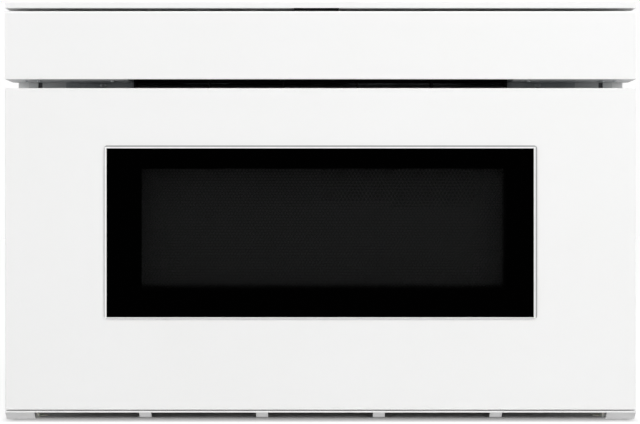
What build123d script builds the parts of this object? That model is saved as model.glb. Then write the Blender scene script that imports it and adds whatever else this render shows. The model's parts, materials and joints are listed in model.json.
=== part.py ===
from build123d import *
import math
import os

os.makedirs("parts", exist_ok=True)

# A built-in microwave drawer, in millimetres. X runs to the right, the front faces -Y and Z is up.
# The origin lies on the floor under the middle of the whole part.
# Most depths are measured back from the face of the drawer front, and behind() turns them into Y.
# An inset is measured inwards from the edge of the wider piece, and a drop down from the higher one.

# Overall sizes
overall_width = 606.4  # flap, drawer front and both trims
overall_height = 402.0
overall_depth = 590.0  # from the window bezel to the end of the cord gland
front_depth = 40.0  # from the drawer's face to the chassis plate
case_inset = 25.2  # from the front's side edge to the case
case_drop = 31.0  # from the trim's top to the case's top
flange_inset = 4.2
flange_drop = 6.0
machine_room = 109.6  # behind the oven cavity

# Sheet, gaps and fits
chassis_sheet = 1.2
case_sheet = 1.0
white_sheet = 1.5
round_flats = 12  # of a round outline that turns in no bearing
near_gap = 0.3  # between pieces that lie close and do not touch
running_gap = 0.05  # radial, a shaft in its bore
fixed_gap = 0.02  # radial, a pin pressed in its hole
door_gap = 0.6  # from the choke cover to the chassis plate
over = 1.0  # how far a cutting block runs past the face that it opens

# Front, from the top down
trim_lip = 4.7
flap_top_gap = 3.1
flap_height = 65.5
flap_bottom_gap = 8.5
drawer_low = 10.9  # height of the drawer front's lower edge
vent_gap = 1.0
lip_height = 1.4
soft_edge = 0.8

# Chassis plate
mount_hole_r = 2.5
mount_inset = 5.0
mount_low_z = 60.0
mount_drop = 96.0
rib_offset = 5.5  # from the case's side out to the rib's middle
rib_width = 9.0
rib_height = 2.0
duct_mouth_width = 90.0
duct_mouth_height = 24.0
duct_mouth_low = 6.0
duct_inset = 123.0
bead_inset = 130.0
bead_width = 18.0
bead_rise = 3.0
bead_front = 60.0
bead_back = 150.0
latch_hole_height = 10.0
sector_slot_play = 1.5
sector_slot_drop = 3.0
sector_slot_rise = 21.0

# Upper rail and air grille
rail_inset = 53.0
rail_drop = 13.5  # below the flap's lower edge
rail_rise = 23.5  # above it
grille_inset = 93.0
grille_drop = 2.0  # below the drawer front's upper edge
grille_height = 16.0
grille_depth = 22.0
grille_wall = 1.5
grille_rim = 5.0
vane_thickness = 1.0
vane_lift = 2.0
vane_count = 3
grille_bays = 5

# Bottom trim
vent_count = 5
vent_bar = 11.5
vent_margin = 27.7  # from the trim's end to its first slot
vent_foot = 1.2  # height of the trim's underside
vent_setback = 7.0  # how far the slotted face slopes back
lip_depth = 12.0
lip_root = 2.6  # where the lip's underside meets the slotted face
lip_return = 0.6
trim_back_leg = 14.0
clip_width = 2.4
clip_depth = 17.0
clip_foot = 6.0

# Flap
flap_depth = 37.0
flap_return = 6.0
flap_corner = 5.0
hinge_depth = 8.0
hinge_rise = 6.5  # from the flap's lower edge to its hinge axis
hinge_pin_r = 2.0
hinge_eye_r = 4.5
ear_low_rise = 31.0  # from the hinge axis
ear_high_rise = 53.0
ear_neck_rise = 30.0
sensor_width = 208.0
sensor_recess = 0.6
sensor_front = 5.0
sensor_back = 6.0
notch_width = 43.0
notch_x = -4.0
notch_depth = 3.0
catch_height = 5.5
catch_depth = 16.0
key_panel_inset = 53.2
key_glass = 2.0
key_slope = 15.0  # degrees
key_wall = 2.0
key_skirt = 12.0
key_drop = 0.8
board_thickness = 1.6
board_inset = 30.0
board_drop = 3.0
display_width = 70.0
key_places = (-180.0, -110.0, 110.0, 180.0)
key_width = 6.0

# Flap drive
sector_module = 1.0
sector_full_teeth = 72
sector_teeth = 15
sector_lead = 12  # teeth on the sector before the one that meshes at rest
sector_width = 4.0
sector_inset = 41.2
sector_boss = 4.0
flap_pinion_teeth = 16
flap_pinion_angle = 60.0  # degrees, from the hinge axis up to the pinion
flap_motor_length = 18.0
flap_motor_height = 20.0
flap_shaft_r = 2.0

# Drawer front and its window
drawer_return = 20.0
bezel_inset = 95.2
bezel_lap = 1.0
bezel_rim = 3.0
bezel_proud = 1.2
bezel_corner = 3.0
window_low = 98.5
window_drop = 55.2
glass_thickness = 4.0
glass_sink = 0.4
glass_seat = 4.0
screen_thickness = 0.8
screen_edge = 6.0

# Inner door
door_inset = 6.0
door_low = 62.0
door_drop = 8.0
door_back = 34.0  # depth of the inner door's back face
door_corner = 6.0
choke_inset = 26.0
choke_rise = 14.0
choke_drop = 8.0
choke_corner = 8.0
choke_window_inset = 26.0
choke_window_rise = 19.5
choke_window_drop = 14.8
groove_pitch = 6.0
groove_width = 2.0
groove_margin = 4.0
groove_count = 2
inner_window_lap = 8.0
inner_window = 2.0

# Oven cavity
cavity_inset = 52.0
cavity_low = 95.0
cavity_drop = 18.0
cavity_flange = 12.0
cavity_top_flange = 6.0
feed_hole_r = 12.0
cavity_vent_x = 38.0
cavity_vent_back = 60.0
cavity_vent = (8.0, 16.0)
cavity_vent_pitch = (16.0, 22.0)

# Basket
basket_rise = 4.0
basket_drop = 20.0
basket_floor_inset = 30.0
basket_top_inset = 10.0
basket_back_gap = 9.0
basket_rim = 6.0
patch_drop = 8.0
patch_height = 50.0
patch_left = 8.0
patch_inset = 8.0
patch_pitch = 17.0
patch_hole = 5.0  # from a hole's middle to its corners
basket_bead_z = 143.0
bead_height = 2.0
bead_flat = 2.0
floor_rib_width = 16.0
floor_rib_end = 30.0
tray_inset = 4.0
tray_back_gap = 17.0
tray_thickness = 6.0
tray_corner = 14.0
tray_edge = 1.5

# Slides and arms
slide_z = 165.0
slide_height = 45.0
slide_sheet = 1.5
slide_width = 12.4
slide_lip = 5.0
slide_overrun = 20.0  # how much longer than the cavity
travel_reserve = 45.0  # how much of the cavity's depth the drawer doesn't come out
ball_track = 2.7
outer_cage_length = 120.0
inner_cage_length = 160.0
member_stagger = 25.0
inner_stagger = 20.0
arm_drop = 86.0  # from the slide's middle
arm_rise = 25.0
arm_sheet = 1.5
arm_tab = 18.0
arm_tab_inset = 8.0
arm_hole_length = 60.0
arm_hole_height = 24.0
arm_hole_corner = 8.0
arm_hole_rise = 36.0
arm_hole_pitch = 90.0
arm_holes = 4
slot_drop = 9.0
slot_rise = 2.0

# Drawer drive
rack_module = 2.5
pinion_teeth = 14
shaft_drop = 21.0  # from the arm's lower edge
shaft_setback = 38.0  # from the chassis plate back to the shaft
shaft_r = 4.0
shaft_inset = 16.0
rack_width = 11.4
rack_height = 14.0  # from the teeth's roots to the back of the rack
rack_end = 1.0
tooth_play = 0.35
pressure_angle = 25.0
root_depth = 1.25  # in modules
bearing_inset = 42.0
bearing_width = 8.0
bearing_foot = (20.0, 32.0, 3.0)
bearing_neck_low = 24.0
bearing_neck_high = 16.0
bearing_wall = 6.0
gear_module = 1.5
drive_gear_teeth = 36
motor_pinion_teeth = 12
gear_x = 62.0
gear_width = 7.0
pinion_proud = 0.5
motor_shaft_r = 3.0
motor_shaft_reach = 14.0
motor_gap = 3.0
motor_r = 18.0
motor_length = 62.0
motor_plate = 6.0
motor_foot = 30.0

# Latches and interlock
latch_inset = 25.0
latch_drop = 10.0
latch_width = 4.0
latch_height = 6.0
latch_reach = 21.0  # behind the chassis plate
latch_foot = (12.0, 2.0, 16.0)
hook_length = 8.0
hook_notch = 4.0
plunger_r = 2.0
plunger_length = 9.6
plunger_travel = 1.2
plunger_proud = 3.0
switch_width = 16.0
switch_height = 22.0
switch_length = 28.0
switch_bracket = 1.5

# Microwave parts
guide_width = 96.0
guide_height = 40.0
guide_end = 15.0  # from the guide's back end to the case's back
stirrer_r = 55.0
stirrer_blades = 4
stirrer_hub = 8.0
stirrer_hub_height = 5.0
stirrer_drop = 10.0
stirrer_shaft_r = 3.0
stirrer_shaft_rise = 12.0
blade_width = 16.0
blade_thickness = 1.0
blade_twist = 25.0  # degrees
cover_r = 70.0
cover_height = 14.0
cover_edge = 4.0
cover_sheet = 1.5
stirrer_motor_r = 24.0
stirrer_motor_height = 18.0
stirrer_motor_bar = (64.0, 12.0, 1.5)
tube_end = 57.0  # from the magnetron's middle to the case's back
tube_width = 84.0
tube_depth = 76.0
tube_height = 66.0
tube_column_r = 20.0
tube_yoke = 2.0
fin_count = 4
fin_sheet = 1.0
fin_inset = 3.0
filter_box = (56.0, 52.0, 34.0)
antenna_r = 7.5
antenna_height = 26.0
antenna_hole = 9.0
core_width = 96.0
core_depth = 66.0
core_height = 80.0
core_x = 20.0
core_foot = (6.0, 4.0, 3.0)
coil_inset = 12.0
coil_proud = 12.0
coil_low = 16.0
coil_corner = 8.0
capacitor_x = -110.0
capacitor_width = 54.0
capacitor_depth = 34.0
capacitor_length = 90.0
capacitor_corner = 10.0
terminal_offset = 10.0
terminal_size = (0.8, 6.0, 10.0)
lamp_x = -120.0
lamp_drop = 46.0
lamp_plate = (32.0, 12.0, 40.0)
lamp_r = 12.0
lamp_length = 22.0

# Exhaust duct and power board
duct_wall = 1.5
duct_rise_length = 60.0
duct_end = 10.0
duct_foot = (12.0, 20.0)
duct_foot_place = 100.0
board_edge_inset = 16.0
board_front = 52.6
board_size = (130.0, 210.0)
board_stand = 8.0
stand_inset = 8.0
stand_width = 6.0
relay_count = 4
relay_pitch = 36.0
relay_start = 30.0
relay_size = (20.0, 28.0, 18.4)
board_coil_size = (40.0, 40.0, 32.4)

# Blower
blower_inset = 102.0
blower_end = 55.0
blower_z = 58.0
blower_width = 46.0
blower_wall = 1.5
wheel_r = 34.0
wheel_room = 6.5
wheel_blades = 14
wheel_blade = (9.0, 1.2)
wheel_blade_place = 28.5  # from the axis to a blade's middle
wheel_blade_angle = 30.0  # degrees
wheel_inset = 5.0
wheel_hub_r = 7.0
wheel_hub_length = 14.0
blower_shaft_r = 2.5
blower_shaft_length = 24.0
blower_motor_r = 26.0
blower_motor_length = 30.0
blower_motor_gap = 4.0
blower_post = 6.0
blower_post_offset = 20.0
inlet_inset = 8.0
volute_growth = 12.0
blower_foot = (30.0, 10.0)

# Case
gland_stand = 8.0
gland_inset = 78.0
gland_z = 60.0
gland_r = 9.0
gland_nut_r = 14.0
gland_nut = 3.0
gland_dome_r = 10.0
gland_tail = 4.0
cord_r = 4.0
pan_edge = 14.0
louvre_length = 60.0
louvre_height = 3.0
side_louvres = 8
side_louvre_drop = 121.0
side_louvre_back = 70.0
back_louvres = 7
back_louvre_x = 40.0
back_louvre_drop = 91.0
top_louvres = 6
top_louvre_x = -180.0
top_louvre_back = 167.0
top_louvre_pitch = 240.0

# Places that follow from the sizes
half_width = overall_width / 2
side_x = half_width - case_inset
inner_x = side_x - case_sheet
body_height = overall_height - case_drop
flange_x = half_width - flange_inset
frame_height = overall_height - flange_drop
face_y = bezel_proud - overall_depth / 2
frame_y = face_y + front_depth
cabinet_y = frame_y + chassis_sheet
back_y = overall_depth / 2 - gland_stand
flap_high = overall_height - trim_lip - flap_top_gap
flap_low = flap_high - flap_height
drawer_high = flap_low - flap_bottom_gap
vent_top = drawer_low - vent_gap
hinge_y = face_y + hinge_depth
hinge_z = flap_low + hinge_rise
ear_high = hinge_z + ear_high_rise
sector_x = half_width - sector_inset
duct_x = side_x - duct_inset
rail_x = side_x - rail_inset
grille_x = side_x - grille_inset
grille_low = drawer_high - grille_drop
grille_high = grille_low + grille_height
vent_length = (overall_width - 2 * vent_margin - (vent_count - 1) * vent_bar) / vent_count
bezel_x = half_width - bezel_inset
window_high = drawer_high - window_drop
door_x = side_x - door_inset
door_high = drawer_high - door_drop
choke_x = door_x - choke_inset
choke_low = door_low + choke_rise
choke_high = door_high - choke_drop
choke_window_x = bezel_x - choke_window_inset
choke_window_low = window_low + choke_window_rise
choke_window_high = window_high - choke_window_drop
door_gap_y = frame_y - door_gap
cavity_x = side_x - cavity_inset
cavity_high = choke_high - cavity_drop
cavity_back = back_y - machine_room
cavity_depth = cavity_back - cabinet_y
ceiling_z = cavity_high + case_sheet
basket_low = cavity_low + basket_rise
basket_high = cavity_high - basket_drop
basket_back_y = door_gap_y + cavity_depth - basket_back_gap
slide_face_x = inner_x - slide_width
slide_back_y = cabinet_y + near_gap + cavity_depth + slide_overrun
drawer_travel = cavity_depth - travel_reserve
arm_low = slide_z - arm_drop
arm_high = slide_z + arm_rise
arm_outer_x = slide_face_x - near_gap
arm_inner_x = arm_outer_x - arm_sheet
shaft_y = cabinet_y + shaft_setback
shaft_z = arm_low - shaft_drop
rack_pitch_z = shaft_z + rack_module * pinion_teeth / 2
bearing_x = side_x - bearing_inset
motor_y = shaft_y + gear_module * (drive_gear_teeth + motor_pinion_teeth) / 2
latch_x = side_x - latch_inset
latch_z = door_high - latch_drop
switch_front = cabinet_y + latch_reach + near_gap + plunger_proud
guide_back = back_y - guide_end
tube_y = back_y - tube_end
stirrer_y = (cabinet_y + cavity_back) / 2
blower_x = side_x - blower_inset
blower_y = back_y - blower_end
gland_x = gland_inset - side_x
flap_pinion_reach = sector_module * (sector_full_teeth + flap_pinion_teeth) / 2
flap_pinion_y = hinge_y + flap_pinion_reach * math.cos(math.radians(flap_pinion_angle))
flap_pinion_z = hinge_z + flap_pinion_reach * math.sin(math.radians(flap_pinion_angle))
flap_motor_x = sector_x + sector_width + flap_shaft_r


# ---- helpers ----
def behind(depth):
    """The Y of a plane at a depth behind the drawer's face."""
    return face_y + depth


def around(middle, width):
    """A range of a width round a middle."""
    return (middle - width / 2, middle + width / 2)


def block(x_range, y_range, z_range):
    """A box between two corners."""
    ranges = (x_range, y_range, z_range)
    sizes = [high - low for low, high in ranges]
    middles = [(low + high) / 2 for low, high in ranges]
    return Pos(*middles) * Box(*sizes)


def outline(points):
    """A closed face through points in its own plane."""
    return make_face(Polyline(*points, close=True))


def along_x(face, x_range):
    """A face drawn in (Y, Z), drawn out from one X to another."""
    return extrude(Plane.YZ.offset(x_range[0]) * face, amount=x_range[1] - x_range[0])


def along_y(face, y_range):
    """A face drawn in (X, Z), drawn out from one Y to another."""
    return extrude(Plane.XZ.offset(-y_range[1]) * face, amount=y_range[1] - y_range[0])


def along_z(face, z_range):
    """A face drawn in (X, Y), drawn out from one Z to another."""
    return extrude(Plane.XY.offset(z_range[0]) * face, amount=z_range[1] - z_range[0])


def clipped(width, height, corner):
    """A rectangle with its corners cut off."""
    return chamfer(Rectangle(width, height).vertices(), corner)


def panel(x_range, z_range, corner=0.0):
    """A rectangle in (X, Z), with round corners where a radius is given."""
    width = x_range[1] - x_range[0]
    height = z_range[1] - z_range[0]
    shape = RectangleRounded(width, height, corner) if corner else Rectangle(width, height)
    return Pos(sum(x_range) / 2, sum(z_range) / 2) * shape


def rod_x(radius, x_range, y, z):
    """A round bar along X."""
    return along_x(Pos(y, z) * Circle(radius), x_range)


def rod_y(radius, y_range, x, z):
    """A round bar along Y."""
    return along_y(Pos(x, z) * Circle(radius), y_range)


def rod_z(radius, z_range, x, y):
    """A round bar along Z."""
    return along_z(Pos(x, y) * Circle(radius), z_range)


def few_sided(radius, u, v):
    """A round outline drawn with few flats, for what turns in no bearing."""
    return Pos(u, v) * RegularPolygon(radius, round_flats)


def mirrored(shape):
    """The same piece on the left side."""
    return mirror(shape, about=Plane.YZ)


def both_sides(shape):
    """A piece and its mirror image, as two separate solids."""
    return Compound(children=[shape, mirrored(shape)])


def sheet_strip(points, thickness, side=Side.LEFT):
    """The section of a folded sheet, from the line of one of its faces."""
    return make_face(offset(Polyline(*points), thickness, side=side))


def tooth_flank(pitch_r, module, play):
    """One flank of an involute tooth, as (radius, half angle) at its root, pitch line and tip."""
    pressure = math.radians(pressure_angle)
    base_r = pitch_r * math.cos(pressure)
    root_r = pitch_r - root_depth * module
    half_tooth = (math.pi * module - play) / 4 / pitch_r
    involute = math.tan(pressure) - pressure
    flank = []
    for radius in (root_r, pitch_r, pitch_r + module):
        angle = math.acos(min(1.0, base_r / radius))
        flank.append((radius, half_tooth + involute - (math.tan(angle) - angle)))
    return flank


def gear_points(module, teeth, turn, count=None):
    """The outline of an involute gear, one tooth pointing along turn (degrees)."""
    flank = tooth_flank(module * teeth / 2, module, tooth_play)
    points = []
    for tooth in range(count or teeth):
        middle = math.radians(turn) + tooth * 2 * math.pi / teeth
        for radius, half in flank:
            points.append((radius * math.cos(middle - half), radius * math.sin(middle - half)))
        for radius, half in reversed(flank):
            points.append((radius * math.cos(middle + half), radius * math.sin(middle + half)))
    return points


def shaft_gear(module, teeth, turn, x_range):
    """A spur gear with a bore for the drive shaft."""
    face = outline(gear_points(module, teeth, turn)) - Circle(shaft_r + fixed_gap)
    return along_x(Pos(shaft_y, shaft_z) * face, x_range)


def staggered(x_range, z_range, pitch):
    """Places of a staggered hole pattern that fills a rectangle."""
    rise = pitch * math.sqrt(3) / 2
    rows = int((z_range[1] - z_range[0]) / rise) + 1
    columns = int((x_range[1] - x_range[0]) / pitch)
    for row in range(rows):
        start = x_range[0] + pitch * (0.5 + 0.5 * (row % 2))
        for column in range(columns):
            yield start + pitch * column, z_range[0] + rise * row


def pan(x_range, y_range, z_range, sheet, opens_up):
    """A shallow folded tray, open at its top or its bottom."""
    outer = block(x_range, y_range, z_range)
    hollow_z = (z_range[0] + sheet, z_range[1]) if opens_up else (z_range[0], z_range[1] - sheet)
    hollow_x = (x_range[0] + sheet, x_range[1] - sheet)
    hollow_y = (y_range[0] + sheet, y_range[1] - sheet)
    return outer - block(hollow_x, hollow_y, hollow_z)


# ---- chassis and case ----
def make_base_plate():
    """The floor pan, with two pressed beads that stiffen it."""
    edge_x = inner_x - near_gap
    tray = pan((-edge_x, edge_x), (cabinet_y, back_y - case_sheet), (0, pan_edge), chassis_sheet, True)
    bead_y = (cabinet_y + bead_front, back_y - bead_back)
    groove_y = (bead_y[0] + chassis_sheet, bead_y[1] - chassis_sheet)
    for side in (-1, 1):
        bead_x = side * (side_x - bead_inset)
        tray += block(around(bead_x, bead_width), bead_y, (chassis_sheet, chassis_sheet + bead_rise))
        tray -= block(around(bead_x, bead_width - 2 * chassis_sheet), groove_y, (0, bead_rise))
        mouth_y = (cabinet_y - over, cabinet_y + 2 * chassis_sheet)
        mouth_z = (duct_mouth_low, pan_edge + over)
        tray -= block(around(side * duct_x, duct_mouth_width), mouth_y, mouth_z)
    return tray


def make_side_panel():
    """The right side of the case, with its vent slots near the back."""
    wall = block((inner_x, side_x), (cabinet_y, back_y - case_sheet), (0, body_height))
    start = back_y - side_louvre_back
    for row in range(side_louvres):
        z = body_height - side_louvre_drop + 3 * louvre_height * row
        slot_y = (start, start + louvre_length)
        wall -= block((inner_x - over, side_x + over), slot_y, (z, z + louvre_height))
    return wall


def make_back_panel():
    """The back of the case, with vent slots and the hole of the cord gland."""
    wall_y = (back_y - case_sheet, back_y)
    cut_y = (wall_y[0] - over, wall_y[1] + over)
    wall = block((-side_x, side_x), wall_y, (0, body_height))
    for column in range(2):
        x = back_louvre_x + 1.5 * louvre_length * column
        for row in range(back_louvres):
            z = body_height - back_louvre_drop + 3 * louvre_height * row
            wall -= block((x, x + louvre_length), cut_y, (z, z + louvre_height))
    return wall - rod_y(gland_r + fixed_gap, cut_y, gland_x, gland_z)


def make_top_cover():
    """The top of the case, with its edges turned down inside the sides."""
    edge_x = inner_x - near_gap
    lid_z = (body_height - pan_edge, body_height)
    lid = pan((-edge_x, edge_x), (cabinet_y, back_y - case_sheet), lid_z, case_sheet, False)
    for column in range(2):
        x = top_louvre_x + top_louvre_pitch * column
        for row in range(top_louvres):
            y = back_y - top_louvre_back + 5 * louvre_height * row
            slot_z = (body_height - case_sheet - over, body_height + over)
            lid -= block((x, x + louvre_length), (y, y + louvre_height), slot_z)
    return lid


def hinge_ear():
    """The ear that carries the flap's pin, folded forward from the flange's right edge."""
    eye = Pos(hinge_y, hinge_z) * RegularPolygon(hinge_eye_r, 8)
    reach = [
        (hinge_y - hinge_eye_r, hinge_z),
        (hinge_y - hinge_eye_r / 2, hinge_z + ear_neck_rise),
        (frame_y, ear_high),
        (frame_y, hinge_z + ear_low_rise),
        (hinge_y + hinge_eye_r * 0.7, hinge_z - hinge_eye_r * 0.7),
    ]
    hole = Pos(hinge_y, hinge_z) * Circle(hinge_pin_r + fixed_gap)
    return along_x(outline(reach) + eye - hole, (flange_x - chassis_sheet, flange_x))


def frame_openings(side):
    """The openings of one side of the chassis plate: slide slot, duct mouth, latch and screws."""
    slot_x = (arm_inner_x - rack_width - 2 * near_gap, inner_x - 2 * near_gap)
    cuts = panel(sorted((side * slot_x[0], side * slot_x[1])), (arm_low - slot_drop, arm_high + slot_rise))
    mouth_z = (duct_mouth_low, duct_mouth_low + duct_mouth_height)
    cuts += panel(around(side * duct_x, duct_mouth_width), mouth_z)
    cuts += Pos(side * latch_x, latch_z) * Rectangle(2 * latch_width, latch_hole_height)
    for z in (mount_low_z, frame_height - mount_drop):
        cuts += Pos(side * (flange_x - mount_inset), z) * Circle(mount_hole_r)
    return cuts


def make_front_frame():
    """The chassis plate: cavity mouth, slide slots, grille, duct mouths, flange and hinge ears."""
    face = panel((-flange_x, flange_x), (0, frame_height))
    face -= panel((-cavity_x, cavity_x), (cavity_low, cavity_high))
    face -= panel((-grille_x, grille_x), (grille_low, grille_high))
    face -= frame_openings(1)
    face -= frame_openings(-1)
    sector_slot = (sector_x - sector_slot_play, sector_x + sector_width + sector_slot_play)
    face -= panel(sector_slot, (hinge_z - sector_slot_drop, hinge_z + sector_slot_rise))
    frame = along_y(face, (frame_y, cabinet_y))
    rib_z = (trim_back_leg + near_gap, hinge_z + ear_low_rise - mount_inset)
    groove_z = (rib_z[0] + chassis_sheet, rib_z[1] - chassis_sheet)
    for side in (-1, 1):
        rib_x = side * (side_x + rib_offset)
        frame += block(around(rib_x, rib_width), (frame_y - rib_height, frame_y), rib_z)
        groove_y = (frame_y - rib_height + chassis_sheet, cabinet_y)
        frame -= block(around(rib_x, rib_width - 2 * chassis_sheet), groove_y, groove_z)
    return frame + hinge_ear() + mirrored(hinge_ear())


def make_upper_rail():
    """The rail under the flap, screwed on the chassis plate round the grille."""
    face = panel((-rail_x, rail_x), (flap_low - rail_drop, flap_low + rail_rise))
    face -= panel((-grille_x, grille_x), (grille_low, grille_high))
    return along_y(face, (frame_y - chassis_sheet, frame_y))


def make_air_grille():
    """The black intake grille, a shallow frame with ribs and sloped vanes."""
    half = grille_x - near_gap
    low = grille_low + near_gap
    high = grille_high - near_gap
    front = frame_y - chassis_sheet
    back = front + grille_depth
    grille = block((-half, half), (front, back), (low, high))
    bay = (2 * half - grille_wall) / grille_bays
    for index in range(grille_bays):
        left = -half + grille_wall + index * bay
        bay_x = (left, left + bay - grille_wall)
        grille -= block(bay_x, (front - over, back + over), (low + grille_wall, high - grille_wall))
    rim = panel((-half - grille_rim, half + grille_rim), (low - grille_rim, high + grille_rim))
    rim -= panel((-half, half), (low, high))
    grille += along_y(rim, (cabinet_y, cabinet_y + grille_wall))
    vane_y = (front + over, back - 2 * over)
    for index in range(vane_count):
        z = low + (index + 1) * (high - low - vane_lift) / (vane_count + 1)
        vane = [
            (vane_y[0], z),
            (vane_y[1], z + vane_lift),
            (vane_y[1], z + vane_lift + vane_thickness),
            (vane_y[0], z + vane_thickness),
        ]
        grille += along_x(outline(vane), (-half + grille_wall / 2, half - grille_wall / 2))
    return grille


def make_top_trim():
    """The strip over the flap: a lip, a top and a short leg on the chassis plate."""
    line = [
        (face_y, overall_height - trim_lip),
        (face_y, overall_height),
        (frame_y, overall_height),
        (frame_y, ear_high + 2 * near_gap),
    ]
    strip = sheet_strip(line, white_sheet, Side.RIGHT)
    return along_x(strip, (-half_width, half_width))


def make_flap_catch():
    """The dark catch that holds the closed flap, under the middle of the top trim."""
    high = overall_height - white_sheet
    front = behind(flap_return + near_gap)
    catch = block(around(notch_x, notch_width), (front, front + catch_depth), (high - catch_height, high))
    return chamfer(catch.edges().filter_by(Axis.X).group_by(Axis.Z)[0], 1.0)


def make_bottom_trim():
    """The strip under the drawer front, with its five vent slots in a face that slopes back."""
    floor_top = vent_foot + lip_height
    lip_low = vent_top - lip_height
    back = frame_y - white_sheet
    section = [
        (face_y, vent_top),
        (behind(lip_depth), vent_top),
        (behind(lip_depth), lip_low),
        (behind(lip_root), lip_low),
        (behind(vent_setback + white_sheet * 0.7), floor_top),
        (back, floor_top),
        (back, trim_back_leg),
        (frame_y, trim_back_leg),
        (frame_y, vent_foot),
        (behind(vent_setback), vent_foot),
        (behind(lip_return), lip_low),
        (face_y, lip_low),
    ]
    strip = along_x(outline(section), (-half_width, half_width))
    slot_y = (face_y - over, behind(vent_setback + lip_root + white_sheet))
    slot_z = (floor_top + near_gap, lip_low - near_gap)
    for index in range(vent_count):
        middle = (index - (vent_count - 1) / 2) * (vent_length + vent_bar)
        strip -= block(around(middle, vent_length), slot_y, slot_z)
    return strip


def make_trim_clip():
    """The clip that snaps into the outer end of the right vent slot and holds the trim."""
    outer = half_width - vent_margin - 2 * near_gap
    front = behind(vent_setback + 2 * white_sheet)
    low = vent_foot + lip_height
    tab = block((outer - clip_width, outer), (front, front + clip_depth), (low, vent_top - lip_height))
    foot = block((outer - 4 * clip_width, outer), (front + clip_foot, front + clip_depth), (low, low + 1))
    return tab + foot


# ---- flap ----
def key_line(depth_from_glass):
    """The two ends of the sloped key panel's line, at a depth below its glass."""
    slope = math.radians(key_slope)
    start = (behind(flap_return) + over, flap_high - white_sheet - key_drop)
    length = (flap_depth - flap_return - 2 * over) / math.cos(slope)
    first = (start[0] - math.sin(slope) * depth_from_glass, start[1] - math.cos(slope) * depth_from_glass)
    last = (first[0] + length * math.cos(slope), first[1] - length * math.sin(slope))
    return first, last


def sloped_slab(top_depth, thickness, x_range, trim_ends=0.0):
    """A slab that lies parallel to the key panel's glass."""
    first, last = key_line(top_depth)
    low_first, low_last = key_line(top_depth + thickness)
    step = trim_ends / math.dist(first, last)

    def between(a, b, share):
        return (a[0] + (b[0] - a[0]) * share, a[1] + (b[1] - a[1]) * share)

    points = [between(first, last, step), between(first, last, 1 - step)]
    points += [between(low_first, low_last, 1 - step), between(low_first, low_last, step)]
    return along_x(outline(points), x_range)


def make_control_flap():
    """The white flap: front, deep underside, short top return and two end walls."""
    shell = block((-half_width, half_width), (face_y, behind(flap_depth)), (flap_low, flap_high))
    rear_corners = shell.edges().filter_by(Axis.Z).group_by(Axis.Y)[-1]
    shell = fillet(rear_corners, flap_corner)
    hollow_x = half_width - white_sheet
    hollow_y = (behind(white_sheet), behind(flap_depth) + over)
    shell -= block((-hollow_x, hollow_x), hollow_y, (flap_low + white_sheet, flap_high + over))
    slope_drop = flap_depth * math.tan(math.radians(key_slope))
    corner_cut = [
        (behind(flap_return), flap_high + over),
        (behind(flap_return), flap_high - white_sheet),
        (behind(flap_depth) + over, flap_high - slope_drop),
        (behind(flap_depth) + over, flap_high + over),
    ]
    shell -= along_x(outline(corner_cut), (-half_width - over, half_width + over))
    top_z = (flap_high - white_sheet, flap_high)
    shell += block((-half_width, half_width), (face_y, behind(flap_return)), top_z)
    notch_y = (behind(flap_return - notch_depth), behind(flap_return) + over)
    shell -= block(around(notch_x, notch_width), notch_y, (top_z[0] - over, flap_high + over))
    recess_y = (behind(sensor_front), behind(flap_depth - sensor_back))
    shell -= block(around(0, sensor_width), recess_y, (flap_low - over, flap_low + sensor_recess))
    shell = fillet(shell.edges().filter_by(Axis.X).group_by(Axis.Y)[0], soft_edge)
    bore = rod_x(hinge_pin_r + running_gap, (flange_x + over, half_width + over), hinge_y, hinge_z)
    return shell - bore - mirrored(bore)


def make_key_panel_housing():
    """The dark tray behind the flap that holds the keys' glass and board."""
    half = half_width - key_panel_inset
    first, last = key_line(key_glass)
    front = behind(white_sheet)
    top = flap_high - white_sheet
    low = last[1] - key_skirt
    section = [(front, top), (behind(flap_return), top), first, last, (last[0], low), (front, low)]
    body = along_x(outline(section), (-half, half))
    inner_first, inner_last = key_line(key_glass + key_wall)
    inner_back = inner_last[0] - key_wall
    wall_rise = key_wall * math.tan(math.radians(key_slope))
    hollow = [
        (front + key_wall, inner_first[1]),
        inner_first,
        (inner_back, inner_last[1] + wall_rise),
        (inner_back, low - over),
        (front + key_wall, low - over),
    ]
    body -= along_x(outline(hollow), (-half + key_wall, half - key_wall))
    display_cut = sloped_slab(key_glass - over, key_wall + 2 * over, around(0, display_width), 4 * key_wall)
    return body - display_cut


def make_key_panel_glass():
    """The touch glass that lies on the sloped housing."""
    half = half_width - key_panel_inset
    return sloped_slab(0, key_glass, (-half, half))


def make_control_board():
    """The board under the glass, with its display and the key sensors that reach the housing."""
    half = half_width - key_panel_inset - board_inset
    below = key_glass + key_wall + board_drop
    board = sloped_slab(below, board_thickness, (-half, half), 2 * key_wall)
    display_top = key_glass + near_gap
    display_x = around(0, display_width - 2 * over)
    board += sloped_slab(display_top, below - display_top, display_x, 4 * key_wall + over)
    for x in key_places:
        board += sloped_slab(key_glass + key_wall, board_drop, around(x, key_width), 6 * key_wall)
    return board


def make_hinge_pin():
    """The right hinge pin, with its head against the ear."""
    head_end = flange_x - chassis_sheet
    pin = rod_x(hinge_pin_r, (head_end - hinge_pin_r, half_width), hinge_y, hinge_z)
    head = Pos(hinge_y, hinge_z) * RegularPolygon(2 * hinge_pin_r, 6)
    return pin + along_x(head, (head_end - 1.5 * hinge_pin_r, head_end))


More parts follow.
